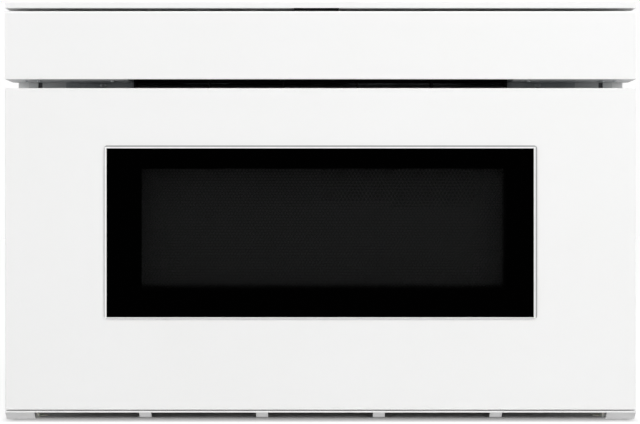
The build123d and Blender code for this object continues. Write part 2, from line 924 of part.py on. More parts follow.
def make_flap_sector():
    """The toothed sector on the flap, a quarter plate with a foot on the flap's front."""
    start = flap_pinion_angle - sector_lead * 360 / sector_full_teeth
    teeth = gear_points(sector_module, sector_full_teeth, start, sector_teeth + 1)
    toe = hinge_depth - white_sheet
    foot_high = sector_module * (sector_full_teeth / 2 - root_depth) - over
    hub = hinge_eye_r + sector_boss
    points = teeth + [(-toe, foot_high), (-toe, hub), (hinge_depth, hub - 2 * over)]
    plate = Pos(hinge_y, hinge_z) * outline(points)
    sector = along_x(plate, (sector_x, sector_x + sector_width))
    foot_x = (sector_x - 1.5 * sector_width, sector_x + sector_width)
    foot_y = (behind(white_sheet), behind(2 * white_sheet))
    return sector + block(foot_x, foot_y, (hinge_z + hub, hinge_z + foot_high))


def make_flap_pinion():
    """The pinion that turns the sector, with its shaft in the motor."""
    turn = flap_pinion_angle + 180 + 180 / flap_pinion_teeth
    face = outline(gear_points(sector_module, flap_pinion_teeth, turn))
    x_range = (sector_x - pinion_proud, sector_x + sector_width + pinion_proud)
    pinion = along_x(Pos(flap_pinion_y, flap_pinion_z) * face, x_range)
    shaft_end = flap_motor_x + flap_motor_length / 2
    return pinion + rod_x(flap_shaft_r, (x_range[0], shaft_end), flap_pinion_y, flap_pinion_z)


def make_flap_motor():
    """The geared motor that tips the flap, on the chassis plate behind it."""
    half = flap_motor_height / 2
    body_x = (flap_motor_x, flap_motor_x + flap_motor_length)
    body_y = (flap_pinion_y - half + over, frame_y)
    body = block(body_x, body_y, around(flap_pinion_z, flap_motor_height))
    body = chamfer(body.edges().filter_by(Axis.X).group_by(Axis.Y)[0], 2 * flap_shaft_r)
    bore_x = (flap_motor_x - over, flap_motor_x + flap_motor_length / 2 + pinion_proud)
    return body - rod_x(flap_shaft_r + running_gap, bore_x, flap_pinion_y, flap_pinion_z)


# ---- drawer front and door ----
def make_drawer_front_panel():
    """The white front, a plain pan with the window's opening and a soft outer edge."""
    front_y = (face_y, behind(drawer_return))
    solid = block((-half_width, half_width), front_y, (drawer_low, drawer_high))
    solid = fillet(solid.edges().filter_by(GeomType.LINE).group_by(Axis.Y)[0], soft_edge)
    hollow_x = (-half_width + white_sheet, half_width - white_sheet)
    hollow_z = (drawer_low + white_sheet, drawer_high - white_sheet)
    solid -= block(hollow_x, (behind(white_sheet), behind(drawer_return) + over), hollow_z)
    lap = bezel_lap + near_gap
    opening = panel((-bezel_x + lap, bezel_x - lap), (window_low + lap, window_high - lap))
    return solid - along_y(opening, (face_y - over, behind(white_sheet) + over))


def glass_box():
    """The X and Z ranges of the window glass."""
    rim = bezel_rim + fixed_gap
    return (-bezel_x + rim, bezel_x - rim), (window_low + rim, window_high - rim)


def screen_front():
    """Depth of the door screen's front, right behind the bezel's ledge."""
    return glass_sink + glass_thickness + white_sheet


def inset_panel(inset, corner=0.0):
    """A rectangle inside the bezel's outline."""
    return panel((-bezel_x + inset, bezel_x - inset), (window_low + inset, window_high - inset), corner)


def make_window_bezel():
    """The slim white ring that laps the front and has a ledge behind the glass."""
    back = behind(screen_front())
    seat_y = behind(glass_sink + glass_thickness)
    ring = along_y(inset_panel(0, bezel_corner), (behind(-bezel_proud), face_y))
    ring += along_y(inset_panel(bezel_lap + 2 * near_gap), (face_y, back))
    seat = along_y(inset_panel(bezel_rim), (behind(-bezel_proud) - over, seat_y))
    ledge = along_y(inset_panel(bezel_rim + glass_seat), (seat_y - over, back + over))
    return ring - seat - ledge


def make_window_glass():
    """The window's glass, with its front just behind the bezel's rim."""
    x_range, z_range = glass_box()
    return block(x_range, (behind(glass_sink), behind(glass_sink + glass_thickness)), z_range)


def make_door_screen():
    """The perforated screen of the door, a plate with its edge turned back."""
    x_range, z_range = glass_box()
    front = behind(screen_front())
    outer = block(x_range, (front, front + screen_edge), z_range)
    hollow_x = (x_range[0] + screen_thickness, x_range[1] - screen_thickness)
    hollow_z = (z_range[0] + screen_thickness, z_range[1] - screen_thickness)
    return outer - block(hollow_x, (front + screen_thickness, front + screen_edge + over), hollow_z)


def make_door_frame():
    """The inner door: a panel that fills the front's pan, and a hollow box towards the oven."""
    rim = white_sheet + near_gap
    plate = panel((-half_width + rim, half_width - rim), (drawer_low + rim, drawer_high - rim))
    plate_y = (behind(drawer_return - white_sheet), behind(drawer_return))
    box = block((-door_x, door_x), (plate_y[1], behind(door_back)), (door_low, door_high))
    box = chamfer(box.edges().filter_by(Axis.Y), door_corner)
    inside_x = (-door_x + white_sheet, door_x - white_sheet)
    inside_z = (door_low + white_sheet, door_high - white_sheet)
    back_wall = behind(door_back - white_sheet)
    frame = along_y(plate, plate_y) + box
    frame -= block(inside_x, (plate_y[0] - over, back_wall), inside_z)
    glass_x, glass_z = glass_box()
    screen_back = behind(screen_front()) + screen_edge
    frame += block(glass_x, (screen_back, behind(door_back)), glass_z)
    tunnel_x = (glass_x[0] + white_sheet, glass_x[1] - white_sheet)
    tunnel_z = (glass_z[0] + white_sheet, glass_z[1] - white_sheet)
    frame -= block(tunnel_x, (screen_back - over, back_wall), tunnel_z)
    mouth_x = (-choke_window_x, choke_window_x)
    mouth_z = (choke_window_low, choke_window_high)
    return frame - block(mouth_x, (back_wall - over, behind(door_back) + over), mouth_z)


def make_choke_cover():
    """The black ring that closes on the cavity's flange, grooved along its back."""
    front = behind(door_back)
    middle = Pos(0, (choke_low + choke_high) / 2)
    ring = middle * clipped(2 * choke_x, choke_high - choke_low, choke_corner)
    ring -= panel((-choke_window_x, choke_window_x), (choke_window_low, choke_window_high))
    cover = along_y(ring, (front, door_gap_y))
    for index in range(groove_count):
        inset = groove_margin + groove_pitch * index
        outer = choke_x - inset
        groove = panel((-outer, outer), (choke_low + inset, choke_high - inset))
        inset += groove_width
        inner = choke_x - inset
        groove -= panel((-inner, inner), (choke_low + inset, choke_high - inset))
        cover -= along_y(groove, (door_gap_y - groove_width, door_gap_y + over))
    lap = inner_window_lap + near_gap
    pocket_x = (-choke_window_x - lap, choke_window_x + lap)
    pocket = panel(pocket_x, (choke_window_low - lap, choke_window_high + lap))
    return cover - along_y(pocket, (front - over, front + inner_window))


def make_inner_window():
    """The clear pane that faces the food, held between the inner door and the choke cover."""
    half = choke_window_x + inner_window_lap
    z_range = (choke_window_low - inner_window_lap, choke_window_high + inner_window_lap)
    return along_y(panel((-half, half), z_range), (behind(door_back), behind(door_back) + inner_window))


def make_latch_head():
    """The right latch head, a hook on a foot that is screwed to the inner door."""
    root = behind(door_back)
    foot_width, foot_sheet, foot_height = latch_foot
    foot = block(around(latch_x, foot_width), (root, root + foot_sheet), around(latch_z, foot_height))
    tip = cabinet_y + latch_reach
    low = latch_z - latch_height / 2
    section = [
        (root, low),
        (tip - hook_length, low),
        (tip - hook_length + over, latch_z),
        (tip - hook_notch, latch_z),
        (tip - hook_notch + over, low),
        (tip, latch_z - latch_height / 6),
        (tip, low + latch_height),
        (root, low + latch_height),
    ]
    return foot + along_x(outline(section), around(latch_x, latch_width))


# ---- basket ----
def basket_half(z):
    """Half the basket's width outside its side walls, at a height."""
    low = cavity_x - basket_floor_inset
    high = cavity_x - basket_top_inset
    return low + (high - low) * (z - basket_low) / (basket_high - basket_low)


def make_basket_side():
    """The right side of the basket, leaning out, with a turned rim along its top."""
    low_z = basket_low + chassis_sheet
    low = basket_half(low_z)
    top = basket_half(basket_high)
    section = [
        (low, low_z),
        (top, basket_high - chassis_sheet),
        (top + basket_rim, basket_high - chassis_sheet),
        (top + basket_rim, basket_high),
        (top - chassis_sheet, basket_high),
        (low - chassis_sheet, low_z),
    ]
    return along_y(outline(section), (door_gap_y, basket_back_y - chassis_sheet))


def make_basket_floor():
    """The floor pan of the basket, with a shallow rib under the tray on each side."""
    half = basket_half(basket_low)
    y_range = (door_gap_y, basket_back_y - chassis_sheet)
    floor = block((-half, half), y_range, (basket_low, basket_low + chassis_sheet))
    rib_y = (y_range[0] + floor_rib_end, y_range[1] - floor_rib_end)
    for x in (-half / 2, half / 2):
        floor += block(around(x, floor_rib_width), rib_y, (basket_low - chassis_sheet, basket_low))
    return floor


def make_basket_back():
    """The back of the basket, with a pressed bead and a patch of staggered holes."""
    top = basket_half(basket_high)
    bottom = basket_half(basket_low)
    wall = outline([(-bottom, basket_low), (bottom, basket_low), (top, basket_high), (-top, basket_high)])
    hexagon = RegularPolygon(patch_hole, 6)
    patch_high = basket_high - patch_drop
    patch_x = (patch_left, bottom - patch_inset)
    patch_z = (patch_high - patch_height, patch_high)
    for x, z in staggered(patch_x, patch_z, patch_pitch):
        wall -= Pos(x, z) * hexagon
    front = basket_back_y - chassis_sheet
    sheet = along_y(wall, (front, basket_back_y))
    rim_y = (basket_back_y, basket_back_y + basket_rim)
    sheet += block((-top, top), rim_y, (basket_high - chassis_sheet, basket_high))
    bead = [
        (front, basket_bead_z - bead_flat - bead_height),
        (front - bead_height, basket_bead_z - bead_flat),
        (front - bead_height, basket_bead_z + bead_flat),
        (front, basket_bead_z + bead_flat + bead_height),
    ]
    bead_end = bottom - basket_rim
    return sheet + along_x(outline(bead), (-bead_end, bead_end))


def make_glass_tray():
    """The glass tray that lies in the basket, with round corners and an eased edge."""
    middle_y = (door_gap_y + basket_back_y - chassis_sheet - bead_height) / 2
    width = 2 * (basket_half(basket_low) - tray_inset)
    depth = basket_back_y - door_gap_y - tray_back_gap
    low = basket_low + chassis_sheet
    face = Pos(0, middle_y) * RectangleRounded(width, depth, tray_corner)
    tray = along_z(face, (low, low + tray_thickness))
    return chamfer(tray.faces().sort_by(Axis.Z)[-1].edges(), tray_edge)


# ---- slides ----
# Each slide has three members: the outer one on the case, a middle one that travels half as far
# as the drawer, and the inner one on the drawer's arm. Each runs inside the next, on a ball track.
outer_half = slide_height / 2
middle_half = outer_half - slide_sheet - ball_track
inner_half = middle_half - slide_sheet - ball_track
middle_open_x = slide_face_x + slide_sheet + near_gap
member_front = cabinet_y + 2 * slide_sheet


def make_slide_outer():
    """The outer member on the case's side, a channel with its lips turned in."""
    line = [
        (slide_face_x, slide_z + outer_half - slide_lip),
        (slide_face_x, slide_z + outer_half),
        (inner_x, slide_z + outer_half),
        (inner_x, slide_z - outer_half),
        (slide_face_x, slide_z - outer_half),
        (slide_face_x, slide_z - outer_half + slide_lip),
    ]
    section = sheet_strip(line, slide_sheet, Side.RIGHT)
    return along_y(section, (cabinet_y + near_gap, slide_back_y))


def channel(open_x, web_x, half, side):
    """The section of a channel that lies on its side, from its open edge to its web."""
    line = [
        (open_x, slide_z + half),
        (web_x, slide_z + half),
        (web_x, slide_z - half),
        (open_x, slide_z - half),
    ]
    return sheet_strip(line, slide_sheet, side)


def make_slide_middle():
    """The middle member, a channel that opens towards the oven."""
    section = channel(middle_open_x, inner_x - slide_sheet - over, middle_half, Side.RIGHT)
    return along_y(section, (member_front, slide_back_y - member_stagger))


def make_slide_inner():
    """The inner member, a channel that opens outwards and carries the drawer's arm."""
    section = channel(inner_x - 2 * (slide_sheet + over), arm_outer_x, inner_half, Side.LEFT)
    return along_y(section, (member_front, slide_back_y - inner_stagger))


def make_slide_cages():
    """The ball cages between the members, above and below, on both sides."""
    outer_x = (middle_open_x + over, inner_x - slide_sheet - 2 * over)
    inner_x_range = (middle_open_x + over, inner_x - 2 * slide_sheet - 3 * over)
    outer_start = shaft_y + drawer_travel / 2
    inner_start = cabinet_y + outer_half / 2
    outer_z = (middle_half, middle_half + ball_track - near_gap)
    inner_z = (inner_half + near_gap, inner_half + ball_track)
    strips = []
    for up in (-1, 1):
        for x_range, start, length, heights in (
            (outer_x, outer_start, outer_cage_length, outer_z),
            (inner_x_range, inner_start, inner_cage_length, inner_z),
        ):
            z_range = sorted((slide_z + up * heights[0], slide_z + up * heights[1]))
            strip = block(x_range, (start, start + length), z_range)
            strips += [strip, mirrored(strip)]
    return Compound(children=strips)


def make_drawer_arm():
    """The right arm from the inner door to the slide, with holes that lighten it."""
    root = behind(door_back)
    arm = block((arm_inner_x, arm_outer_x), (root, slide_back_y - inner_stagger), (arm_low, arm_high))
    tab_x = (arm_outer_x - arm_tab, arm_outer_x)
    tab_z = (arm_low + arm_tab_inset, arm_high - arm_tab_inset)
    arm += block(tab_x, (root, root + arm_sheet), tab_z)
    hole = clipped(arm_hole_length, arm_hole_height, arm_hole_corner)
    for index in range(arm_holes):
        place = Pos(shaft_y + arm_hole_pitch * (index + 0.5), arm_low + arm_hole_rise)
        arm -= along_x(place * hole, (arm_inner_x - over, arm_outer_x + over))
    return arm


def make_rack():
    """The right rack under the arm, its teeth pointing down on the pinion."""
    pitch = math.pi * rack_module
    front_teeth = math.floor((shaft_y - cabinet_y - near_gap) / pitch - 0.5)
    back_teeth = math.ceil(drawer_travel / pitch) + 2
    slope = math.tan(math.radians(pressure_angle))
    tip = rack_pitch_z - rack_module
    root = rack_pitch_z + root_depth * rack_module
    half_tooth = (pitch - tooth_play) / 4
    wide = half_tooth + root_depth * rack_module * slope
    slim = half_tooth - rack_module * slope
    points = []
    for tooth in range(-front_teeth, back_teeth):
        middle = shaft_y + (tooth + 0.5) * pitch
        points += [(middle - wide, root), (middle - slim, tip), (middle + slim, tip), (middle + wide, root)]
    start = points[0][0] - rack_end
    end = points[-1][0] + rack_end
    points += [(end, root), (end, root + rack_height), (start, root + rack_height), (start, root)]
    return along_x(outline(points), (arm_inner_x - rack_width, arm_inner_x))


# ---- drawer drive ----
def make_drive_shaft():
    """The shaft that joins the two rack pinions."""
    half = side_x - shaft_inset
    return rod_x(shaft_r, (-half, half), shaft_y, shaft_z)


def make_drive_gears():
    """The two rack pinions and the gear that the motor drives, each pressed on the shaft."""
    inner = arm_inner_x - rack_width
    pinion = shaft_gear(rack_module, pinion_teeth, 90, (inner, arm_inner_x - near_gap))
    drive = shaft_gear(gear_module, drive_gear_teeth, 0, (gear_x, gear_x + gear_width))
    return Compound(children=[pinion, mirrored(pinion), drive])


def make_motor_pinion():
    """The motor's pinion, on a shaft that runs in the motor's bearing."""
    turn = 180 + 180 / motor_pinion_teeth
    face = outline(gear_points(gear_module, motor_pinion_teeth, turn))
    x_range = (gear_x - pinion_proud, gear_x + gear_width + pinion_proud)
    pinion = along_x(Pos(motor_y, shaft_z) * face, x_range)
    shaft_x = (gear_x, gear_x + gear_width + motor_shaft_reach)
    return pinion + rod_x(motor_shaft_r, shaft_x, motor_y, shaft_z)


def make_slide_motor():
    """The motor that drives the drawer, with a gearbox plate and a bracket on the floor pan."""
    start = gear_x + gear_width + motor_gap
    can_start = start + motor_plate
    can_end = can_start + motor_length
    side_y = (motor_y - motor_r, motor_y + motor_r + motor_plate)
    motor = along_x(few_sided(motor_r, motor_y, shaft_z), (can_start, can_end))
    plate = block((start, can_start), side_y, (chassis_sheet, shaft_z + motor_r))
    motor += chamfer(plate.edges().filter_by(Axis.X).group_by(Axis.Z)[-1], motor_plate)
    motor += block((start, start + motor_foot), side_y, (chassis_sheet, 2 * chassis_sheet))
    bore_x = (start - over, start + motor_shaft_reach - motor_gap + over)
    return motor - rod_x(motor_shaft_r + running_gap, bore_x, motor_y, shaft_z)


def make_shaft_bearing():
    """The right bearing block, a pedestal on the floor pan with a bore near its top."""
    x_range = around(bearing_x, bearing_width)
    foot_width, foot_depth, foot_sheet = bearing_foot
    foot_x = (x_range[1] + 2 * over - foot_width, x_range[1] + 2 * over)
    foot_top = chassis_sheet + foot_sheet
    pedestal = block(foot_x, around(shaft_y, foot_depth), (chassis_sheet, foot_top))
    low = around(shaft_y, bearing_neck_low)
    high = around(shaft_y, bearing_neck_high)
    top = shaft_z + shaft_r + bearing_wall
    neck = [
        (low[0], foot_top),
        (low[1], foot_top),
        (high[1], shaft_z + shaft_r),
        (high[1] - shaft_r, top),
        (high[0] + shaft_r, top),
        (high[0], shaft_z + shaft_r),
    ]
    pedestal += along_x(outline(neck), x_range)
    bore_x = (x_range[0] - over, x_range[1] + over)
    return pedestal - rod_x(shaft_r + running_gap, bore_x, shaft_y, shaft_z)


# ---- interlock ----
def make_interlock_switch():
    """The right switch block on its bracket, behind the latch slot."""
    block_x = around(latch_x, switch_width)
    back = switch_front + switch_length
    top = latch_z + switch_height / 2
    switch = block(block_x, (switch_front, back), around(latch_z, switch_height))
    switch += block(block_x, (cabinet_y, back), (top, top + switch_bracket))
    switch += block(block_x, (cabinet_y, cabinet_y + switch_bracket), (top, top + switch_height / 2))
    bore_end = switch_front - plunger_proud + plunger_length + plunger_travel + near_gap
    return switch - rod_y(plunger_r + running_gap, (switch_front - over, bore_end), latch_x, latch_z)


def make_interlock_plunger():
    """The right plunger, whose tip the latch head presses."""
    front = switch_front - plunger_proud
    return rod_y(plunger_r, (front, front + plunger_length), latch_x, latch_z)


# ---- oven ----
def make_oven_cavity():
    """The oven's box, open at the front, with its flange on the chassis plate."""
    outer_x = cavity_x + case_sheet
    outer_y = (cabinet_y, cavity_back + case_sheet)
    oven = block((-outer_x, outer_x), outer_y, (cavity_low - case_sheet, ceiling_z))
    flange_edge = cavity_x + cavity_flange
    flange_z = (cavity_low - cavity_flange, cavity_high + cavity_top_flange)
    oven += along_y(panel((-flange_edge, flange_edge), flange_z), (cabinet_y, cabinet_y + case_sheet))
    oven -= block((-cavity_x, cavity_x), (cabinet_y - over, cavity_back), (cavity_low, cavity_high))
    oven -= rod_z(feed_hole_r, (cavity_high - over, ceiling_z + over), 0, stirrer_y)
    vent_z = (cavity_low - case_sheet - over, cavity_low + over)
    for column in range(vent_count):
        x = cavity_vent_pitch[0] * column - duct_x - cavity_vent_x
        for row in range(2):
            y = cavity_back - cavity_vent_back + cavity_vent_pitch[1] * row
            oven -= block((x, x + cavity_vent[0]), (y, y + cavity_vent[1]), vent_z)
    return oven


def duct_section(wall, mouth_y, roof):
    """The side view of the exhaust duct, drawn in by a wall's thickness."""
    low = duct_mouth_low + chassis_sheet + wall
    high = duct_mouth_low + duct_mouth_height - wall
    back = cavity_back - duct_end - wall
    step = cavity_back - duct_end - duct_rise_length + wall
    return outline([(mouth_y, low), (back, low), (back, roof), (step, roof), (step, high), (mouth_y, high)])


def make_exhaust_duct():
    """The duct from the vents in the cavity's floor forward to the left duct mouth."""
    roof = cavity_low - case_sheet
    duct = along_x(duct_section(0, cabinet_y, roof), around(-duct_x, duct_mouth_width))
    hollow_x = around(-duct_x, duct_mouth_width - 2 * duct_wall)
    duct -= along_x(duct_section(duct_wall, cabinet_y - over, roof + over), hollow_x)
    foot_width, foot_depth = duct_foot
    side = -duct_x - duct_mouth_width / 2
    foot_y = (cabinet_y + duct_foot_place, cabinet_y + duct_foot_place + foot_depth)
    return duct + block((side - foot_width, side), foot_y, (chassis_sheet, duct_mouth_low + 3))


def make_waveguide():
    """The rectangular guide from the magnetron to the hole over the stirrer."""
    half = guide_width / 2
    high = ceiling_z + guide_height
    wall = chassis_sheet
    front = stirrer_y - half
    guide = block((-half, half), (front, guide_back), (ceiling_z, high))
    hollow_y = (front + wall, guide_back - wall)
    guide -= block((-half + wall, half - wall), hollow_y, (ceiling_z + wall, high - wall))
    floor_cut = (ceiling_z - over, ceiling_z + 2 * wall)
    guide -= rod_z(feed_hole_r, floor_cut, 0, stirrer_y)
    guide -= rod_z(stirrer_shaft_r + over, (high - 2 * wall, high + over), 0, stirrer_y)
    return guide - along_z(few_sided(antenna_hole, 0, tube_y), floor_cut)


def make_magnetron():
    """The magnetron: yoke, cooling fins, filter box and the antenna in the waveguide."""
    half_x = tube_width / 2
    y_range = around(tube_y, tube_depth)
    low = ceiling_z - tube_height
    tube = block((-half_x, half_x), y_range, (low, ceiling_z))
    hollow_y = (y_range[0] - over, y_range[1] + over)
    hollow_x = (-half_x + tube_yoke, half_x - tube_yoke)
    tube -= block(hollow_x, hollow_y, (low + tube_yoke, ceiling_z - tube_yoke))
    tube += along_z(Pos(0, tube_y) * RegularPolygon(tube_column_r, 8), (low, ceiling_z))
    fin_y = (y_range[0] + fin_inset, y_range[1] - fin_inset)
    for index in range(fin_count):
        z = low + tube_height * (index + 1) / (fin_count + 1)
        tube += block((-half_x, half_x), fin_y, (z, z + fin_sheet))
    box_width, box_depth, box_height = filter_box
    tube += block(around(0, box_width), around(tube_y, box_depth), (low - box_height, low))
    return tube + along_z(few_sided(antenna_r, 0, tube_y), (ceiling_z, ceiling_z + antenna_height))


def make_transformer():
    """The high-voltage transformer: core, feet and two windings."""
    foot_x, foot_y, foot_sheet = core_foot
    low = chassis_sheet
    feet_x = around(core_x, core_width + 2 * foot_x)
    core = block(feet_x, around(tube_y, core_depth + 2 * foot_y), (low, low + foot_sheet))
    core += block(around(core_x, core_width), around(tube_y, core_depth), (low, low + core_height))
    coil_x = around(core_x, core_width - 2 * coil_inset)
    coil_y = around(tube_y, core_depth + 2 * coil_proud)
    coils = block(coil_x, coil_y, (low + coil_low, low + core_height - coil_inset))
    return core + chamfer(coils.edges().filter_by(Axis.X), coil_corner)


def make_capacitor():
    """The high-voltage capacitor, upright, with two terminals."""
    top = chassis_sheet + capacitor_length
    face = Pos(capacitor_x, tube_y) * clipped(capacitor_width, capacitor_depth, capacitor_corner)
    can = along_z(face, (chassis_sheet, top))
    sheet, width, height = terminal_size
    for x in (capacitor_x - terminal_offset, capacitor_x + terminal_offset):
        can += block(around(x, sheet), around(tube_y, width), (top, top + height))
    return can


def make_stirrer():
    """The stirrer: a shaft and hub with twisted blades under the ceiling."""
    low = cavity_high - stirrer_drop
    top = ceiling_z + guide_height + stirrer_shaft_rise
    stirrer = rod_z(stirrer_shaft_r, (low, top), 0, stirrer_y)
    hub_y = around(stirrer_y, 2 * stirrer_hub)
    stirrer += block((-stirrer_hub, stirrer_hub), hub_y, (low, low + stirrer_hub_height))
    reach = stirrer_r - stirrer_hub / 2
    blade = Rot(blade_twist, 0, 0) * Box(reach, blade_width, blade_thickness)
    blade = Pos(stirrer_r - reach / 2, 0, 0) * blade
    for index in range(stirrer_blades):
        turn = 360 / stirrer_blades * index
        stirrer += Pos(0, stirrer_y, low + stirrer_hub_height / 3) * Rot(0, 0, turn) * blade
    return stirrer


def make_stirrer_cover():
    """The shallow eight-sided dish that keeps splashes off the stirrer."""
    low = cavity_high - cover_height
    dish = along_z(Pos(0, stirrer_y) * RegularPolygon(cover_r, 8), (low, cavity_high))
    dish = chamfer(dish.edges().group_by(Axis.Z)[0], cover_edge)
    hollow = Pos(0, stirrer_y) * RegularPolygon(cover_r - cover_edge, 8)
    return dish - along_z(hollow, (low + cover_sheet, cavity_high + over))


def make_stirrer_motor():
    """The small flat motor on the waveguide that turns the stirrer."""
    low = ceiling_z + guide_height
    motor = along_z(few_sided(stirrer_motor_r, 0, stirrer_y), (low, low + stirrer_motor_height))
    bar_length, bar_width, bar_sheet = stirrer_motor_bar
    motor += block(around(0, bar_length), around(stirrer_y, bar_width), (low, low + bar_sheet))
    bore_z = (low - over, low + stirrer_shaft_rise + over)
    return motor - rod_z(stirrer_shaft_r + running_gap, bore_z, 0, stirrer_y)


def make_cavity_lamp():
    """The lamp's socket and bulb on the back of the oven."""
    z = cavity_high - lamp_drop
    back = cavity_back + case_sheet
    width, depth, height = lamp_plate
    lamp = block(around(lamp_x, width), (back, back + depth), around(z, height))
    return lamp + along_y(few_sided(lamp_r, lamp_x, z), (back + depth, back + depth + lamp_length))


def make_power_board():
    """The power board on top of the oven, with its relays and small transformer."""
    left = board_edge_inset - cavity_x
    front = cabinet_y + board_front
    x_range = (left, left + board_size[0])
    y_range = (front, front + board_size[1])
    low = ceiling_z + board_stand
    top = low + board_thickness
    board = block(x_range, y_range, (low, top))
    for x in (x_range[0] + stand_inset, x_range[1] - stand_inset):
        for y in (y_range[0] + stand_inset, y_range[1] - stand_inset):
            board += block(around(x, stand_width), around(y, stand_width), (ceiling_z, low))
    width, depth, height = relay_size
    for index in range(relay_count):
        y = front + relay_start + relay_pitch * index
        board += block((left + width, left + 2 * width), (y, y + depth), (top, top + height))
    width, depth, height = board_coil_size
    coil_x = (x_range[1] - 1.5 * width, x_range[1] - width / 2)
    coil_y = (front + relay_start, front + relay_start + depth)
    return board + block(coil_x, coil_y, (top, top + height))


# ---- blower ----
def volute(start_r):
    """The blower's spiral outline, three quarter turns that each grow wider, and a straight throat."""
    step = volute_growth / 3
    first = JernArc((0, -start_r), (1, 0), start_r, 90)
    second = JernArc(first @ 1, first % 1, start_r + step, 90)
    third = JernArc(second @ 1, second % 1, start_r + 2 * step, 90)
    end = third @ 1
    throat = Polyline((end.X, end.Y), (end.X, -start_r), (0, -start_r))
    return Pos(blower_y, blower_z) * make_face(first + second + third + throat)


def make_blower_housing():
    """The blower's spiral housing, with its inlet on the right and its hub hole on the left."""
    x_range = around(blower_x, blower_width)
    housing = along_x(volute(wheel_r + wheel_room + blower_wall), x_range)
    housing -= along_x(volute(wheel_r + wheel_room), (x_range[0] + blower_wall, x_range[1] - blower_wall))
    inlet_x = (x_range[1] - blower_wall - over, x_range[1] + over)
    housing -= rod_x(wheel_r - inlet_inset, inlet_x, blower_y, blower_z)
    hub_x = (x_range[0] - over, x_range[0] + blower_wall + over)
    housing -= rod_x(inlet_inset, hub_x, blower_y, blower_z)
    foot_y = (blower_y - blower_foot[0], blower_y + blower_foot[1])
    foot_top = blower_z - wheel_r - wheel_room - over
    return housing + block(x_range, foot_y, (chassis_sheet, foot_top))


def make_blower_motor():
    """The blower's motor, on two posts on the closed side of the housing."""
    start = blower_x - blower_width / 2
    far = start - blower_motor_gap - blower_motor_length
    motor = along_x(few_sided(blower_motor_r, blower_y, blower_z), (far, start - blower_motor_gap))
    for up in (-1, 1):
        post_z = blower_z + up * blower_post_offset
        motor += block((far, start), around(blower_y, blower_post), around(post_z, blower_post))
    bore_x = (start - blower_shaft_length + blower_motor_gap, start)
    return motor - rod_x(blower_shaft_r + running_gap, bore_x, blower_y, blower_z)


def make_blower_wheel():
    """The blower's wheel: a back plate that carries a ring of slanted blades."""
    start = blower_x - blower_width / 2 + wheel_inset
    end = blower_x + blower_width / 2 - wheel_inset
    plate = Pos(blower_y, blower_z) * RegularPolygon(wheel_r, wheel_blades)
    wheel = along_x(plate, (start, start + blower_wall))
    blade = Pos(wheel_blade_place, 0) * Rot(0, 0, wheel_blade_angle) * Rectangle(*wheel_blade)
    for index in range(wheel_blades):
        place = Pos(blower_y, blower_z) * Rot(0, 0, 360 / wheel_blades * index)
        wheel += along_x(place * blade, (start + blower_wall / 2, end))
    wheel += along_x(few_sided(wheel_hub_r, blower_y, blower_z), (start, start + wheel_hub_length))
    shaft_x = (start - blower_shaft_length, start + wheel_hub_length)
    return wheel + rod_x(blower_shaft_r, shaft_x, blower_y, blower_z)


def make_cord_gland():
    """The gland in the back panel where the mains cord leaves."""
    gland = rod_y(gland_r, (back_y - case_sheet - gland_tail, back_y), gland_x, gland_z)
    place = Pos(gland_x, gland_z)
    nut_end = back_y + gland_nut
    gland += along_y(place * RegularPolygon(gland_nut_r, 6), (back_y, nut_end))
    gland += along_y(place * RegularPolygon(gland_dome_r, 6), (nut_end, back_y + gland_stand))
    bore_y = (back_y - 2 * gland_stand, back_y + 2 * gland_stand)
    return gland - rod_y(cord_r, bore_y, gland_x, gland_z)


side_panel = make_side_panel()
pieces = {
    "base_plate": make_base_plate(),
    "side_panel_left": mirrored(side_panel),
    "side_panel_right": side_panel,
    "back_panel": make_back_panel(),
    "top_cover": make_top_cover(),
    "front_frame": make_front_frame(),
    "upper_rail": make_upper_rail(),
    "air_grille": make_air_grille(),
    "top_trim": make_top_trim(),
    "flap_catch": make_flap_catch(),
    "bottom_trim": make_bottom_trim(),
    "trim_clips": both_sides(make_trim_clip()),
    "control_flap": make_control_flap(),
    "key_panel_housing": make_key_panel_housing(),
    "key_panel_glass": make_key_panel_glass(),
    "control_board": make_control_board(),
    "flap_hinge_pins": both_sides(make_hinge_pin()),
    "flap_sector": make_flap_sector(),
    "flap_pinion": make_flap_pinion(),
    "flap_motor": make_flap_motor(),
    "drawer_front_panel": make_drawer_front_panel(),
    "window_bezel": make_window_bezel(),
    "window_glass": make_window_glass(),
    "door_screen": make_door_screen(),
    "door_frame": make_door_frame(),
    "choke_cover": make_choke_cover(),
    "inner_window": make_inner_window(),
    "latch_heads": both_sides(make_latch_head()),
    "basket_sides": both_sides(make_basket_side()),
    "basket_floor": make_basket_floor(),
    "basket_back": make_basket_back(),
    "glass_tray": make_glass_tray(),
    "slide_outers": both_sides(make_slide_outer()),
    "slide_middles": both_sides(make_slide_middle()),
    "slide_cages": make_slide_cages(),
    "slide_inners": both_sides(make_slide_inner()),
    "drawer_arms": both_sides(make_drawer_arm()),
    "drawer_racks": both_sides(make_rack()),
    "drive_shaft": make_drive_shaft(),
    "drive_gears": make_drive_gears(),
    "motor_pinion": make_motor_pinion(),
    "slide_motor": make_slide_motor(),
    "shaft_bearings": both_sides(make_shaft_bearing()),
    "interlock_switches": both_sides(make_interlock_switch()),
    "interlock_plungers": both_sides(make_interlock_plunger()),
    "oven_cavity": make_oven_cavity(),
    "exhaust_duct": make_exhaust_duct(),
    "waveguide": make_waveguide(),
    "magnetron": make_magnetron(),
    "high_voltage_transformer": make_transformer(),
    "high_voltage_capacitor": make_capacitor(),
    "stirrer": make_stirrer(),
    "stirrer_cover": make_stirrer_cover(),
    "stirrer_motor": make_stirrer_motor(),
    "cavity_lamp": make_cavity_lamp(),
    "power_board": make_power_board(),
    "blower_housing": make_blower_housing(),
    "blower_motor": make_blower_motor(),
    "blower_wheel": make_blower_wheel(),
    "cord_gland": make_cord_gland(),
}
for name, shape in pieces.items():
    export_step(shape, f"parts/{name}.step")
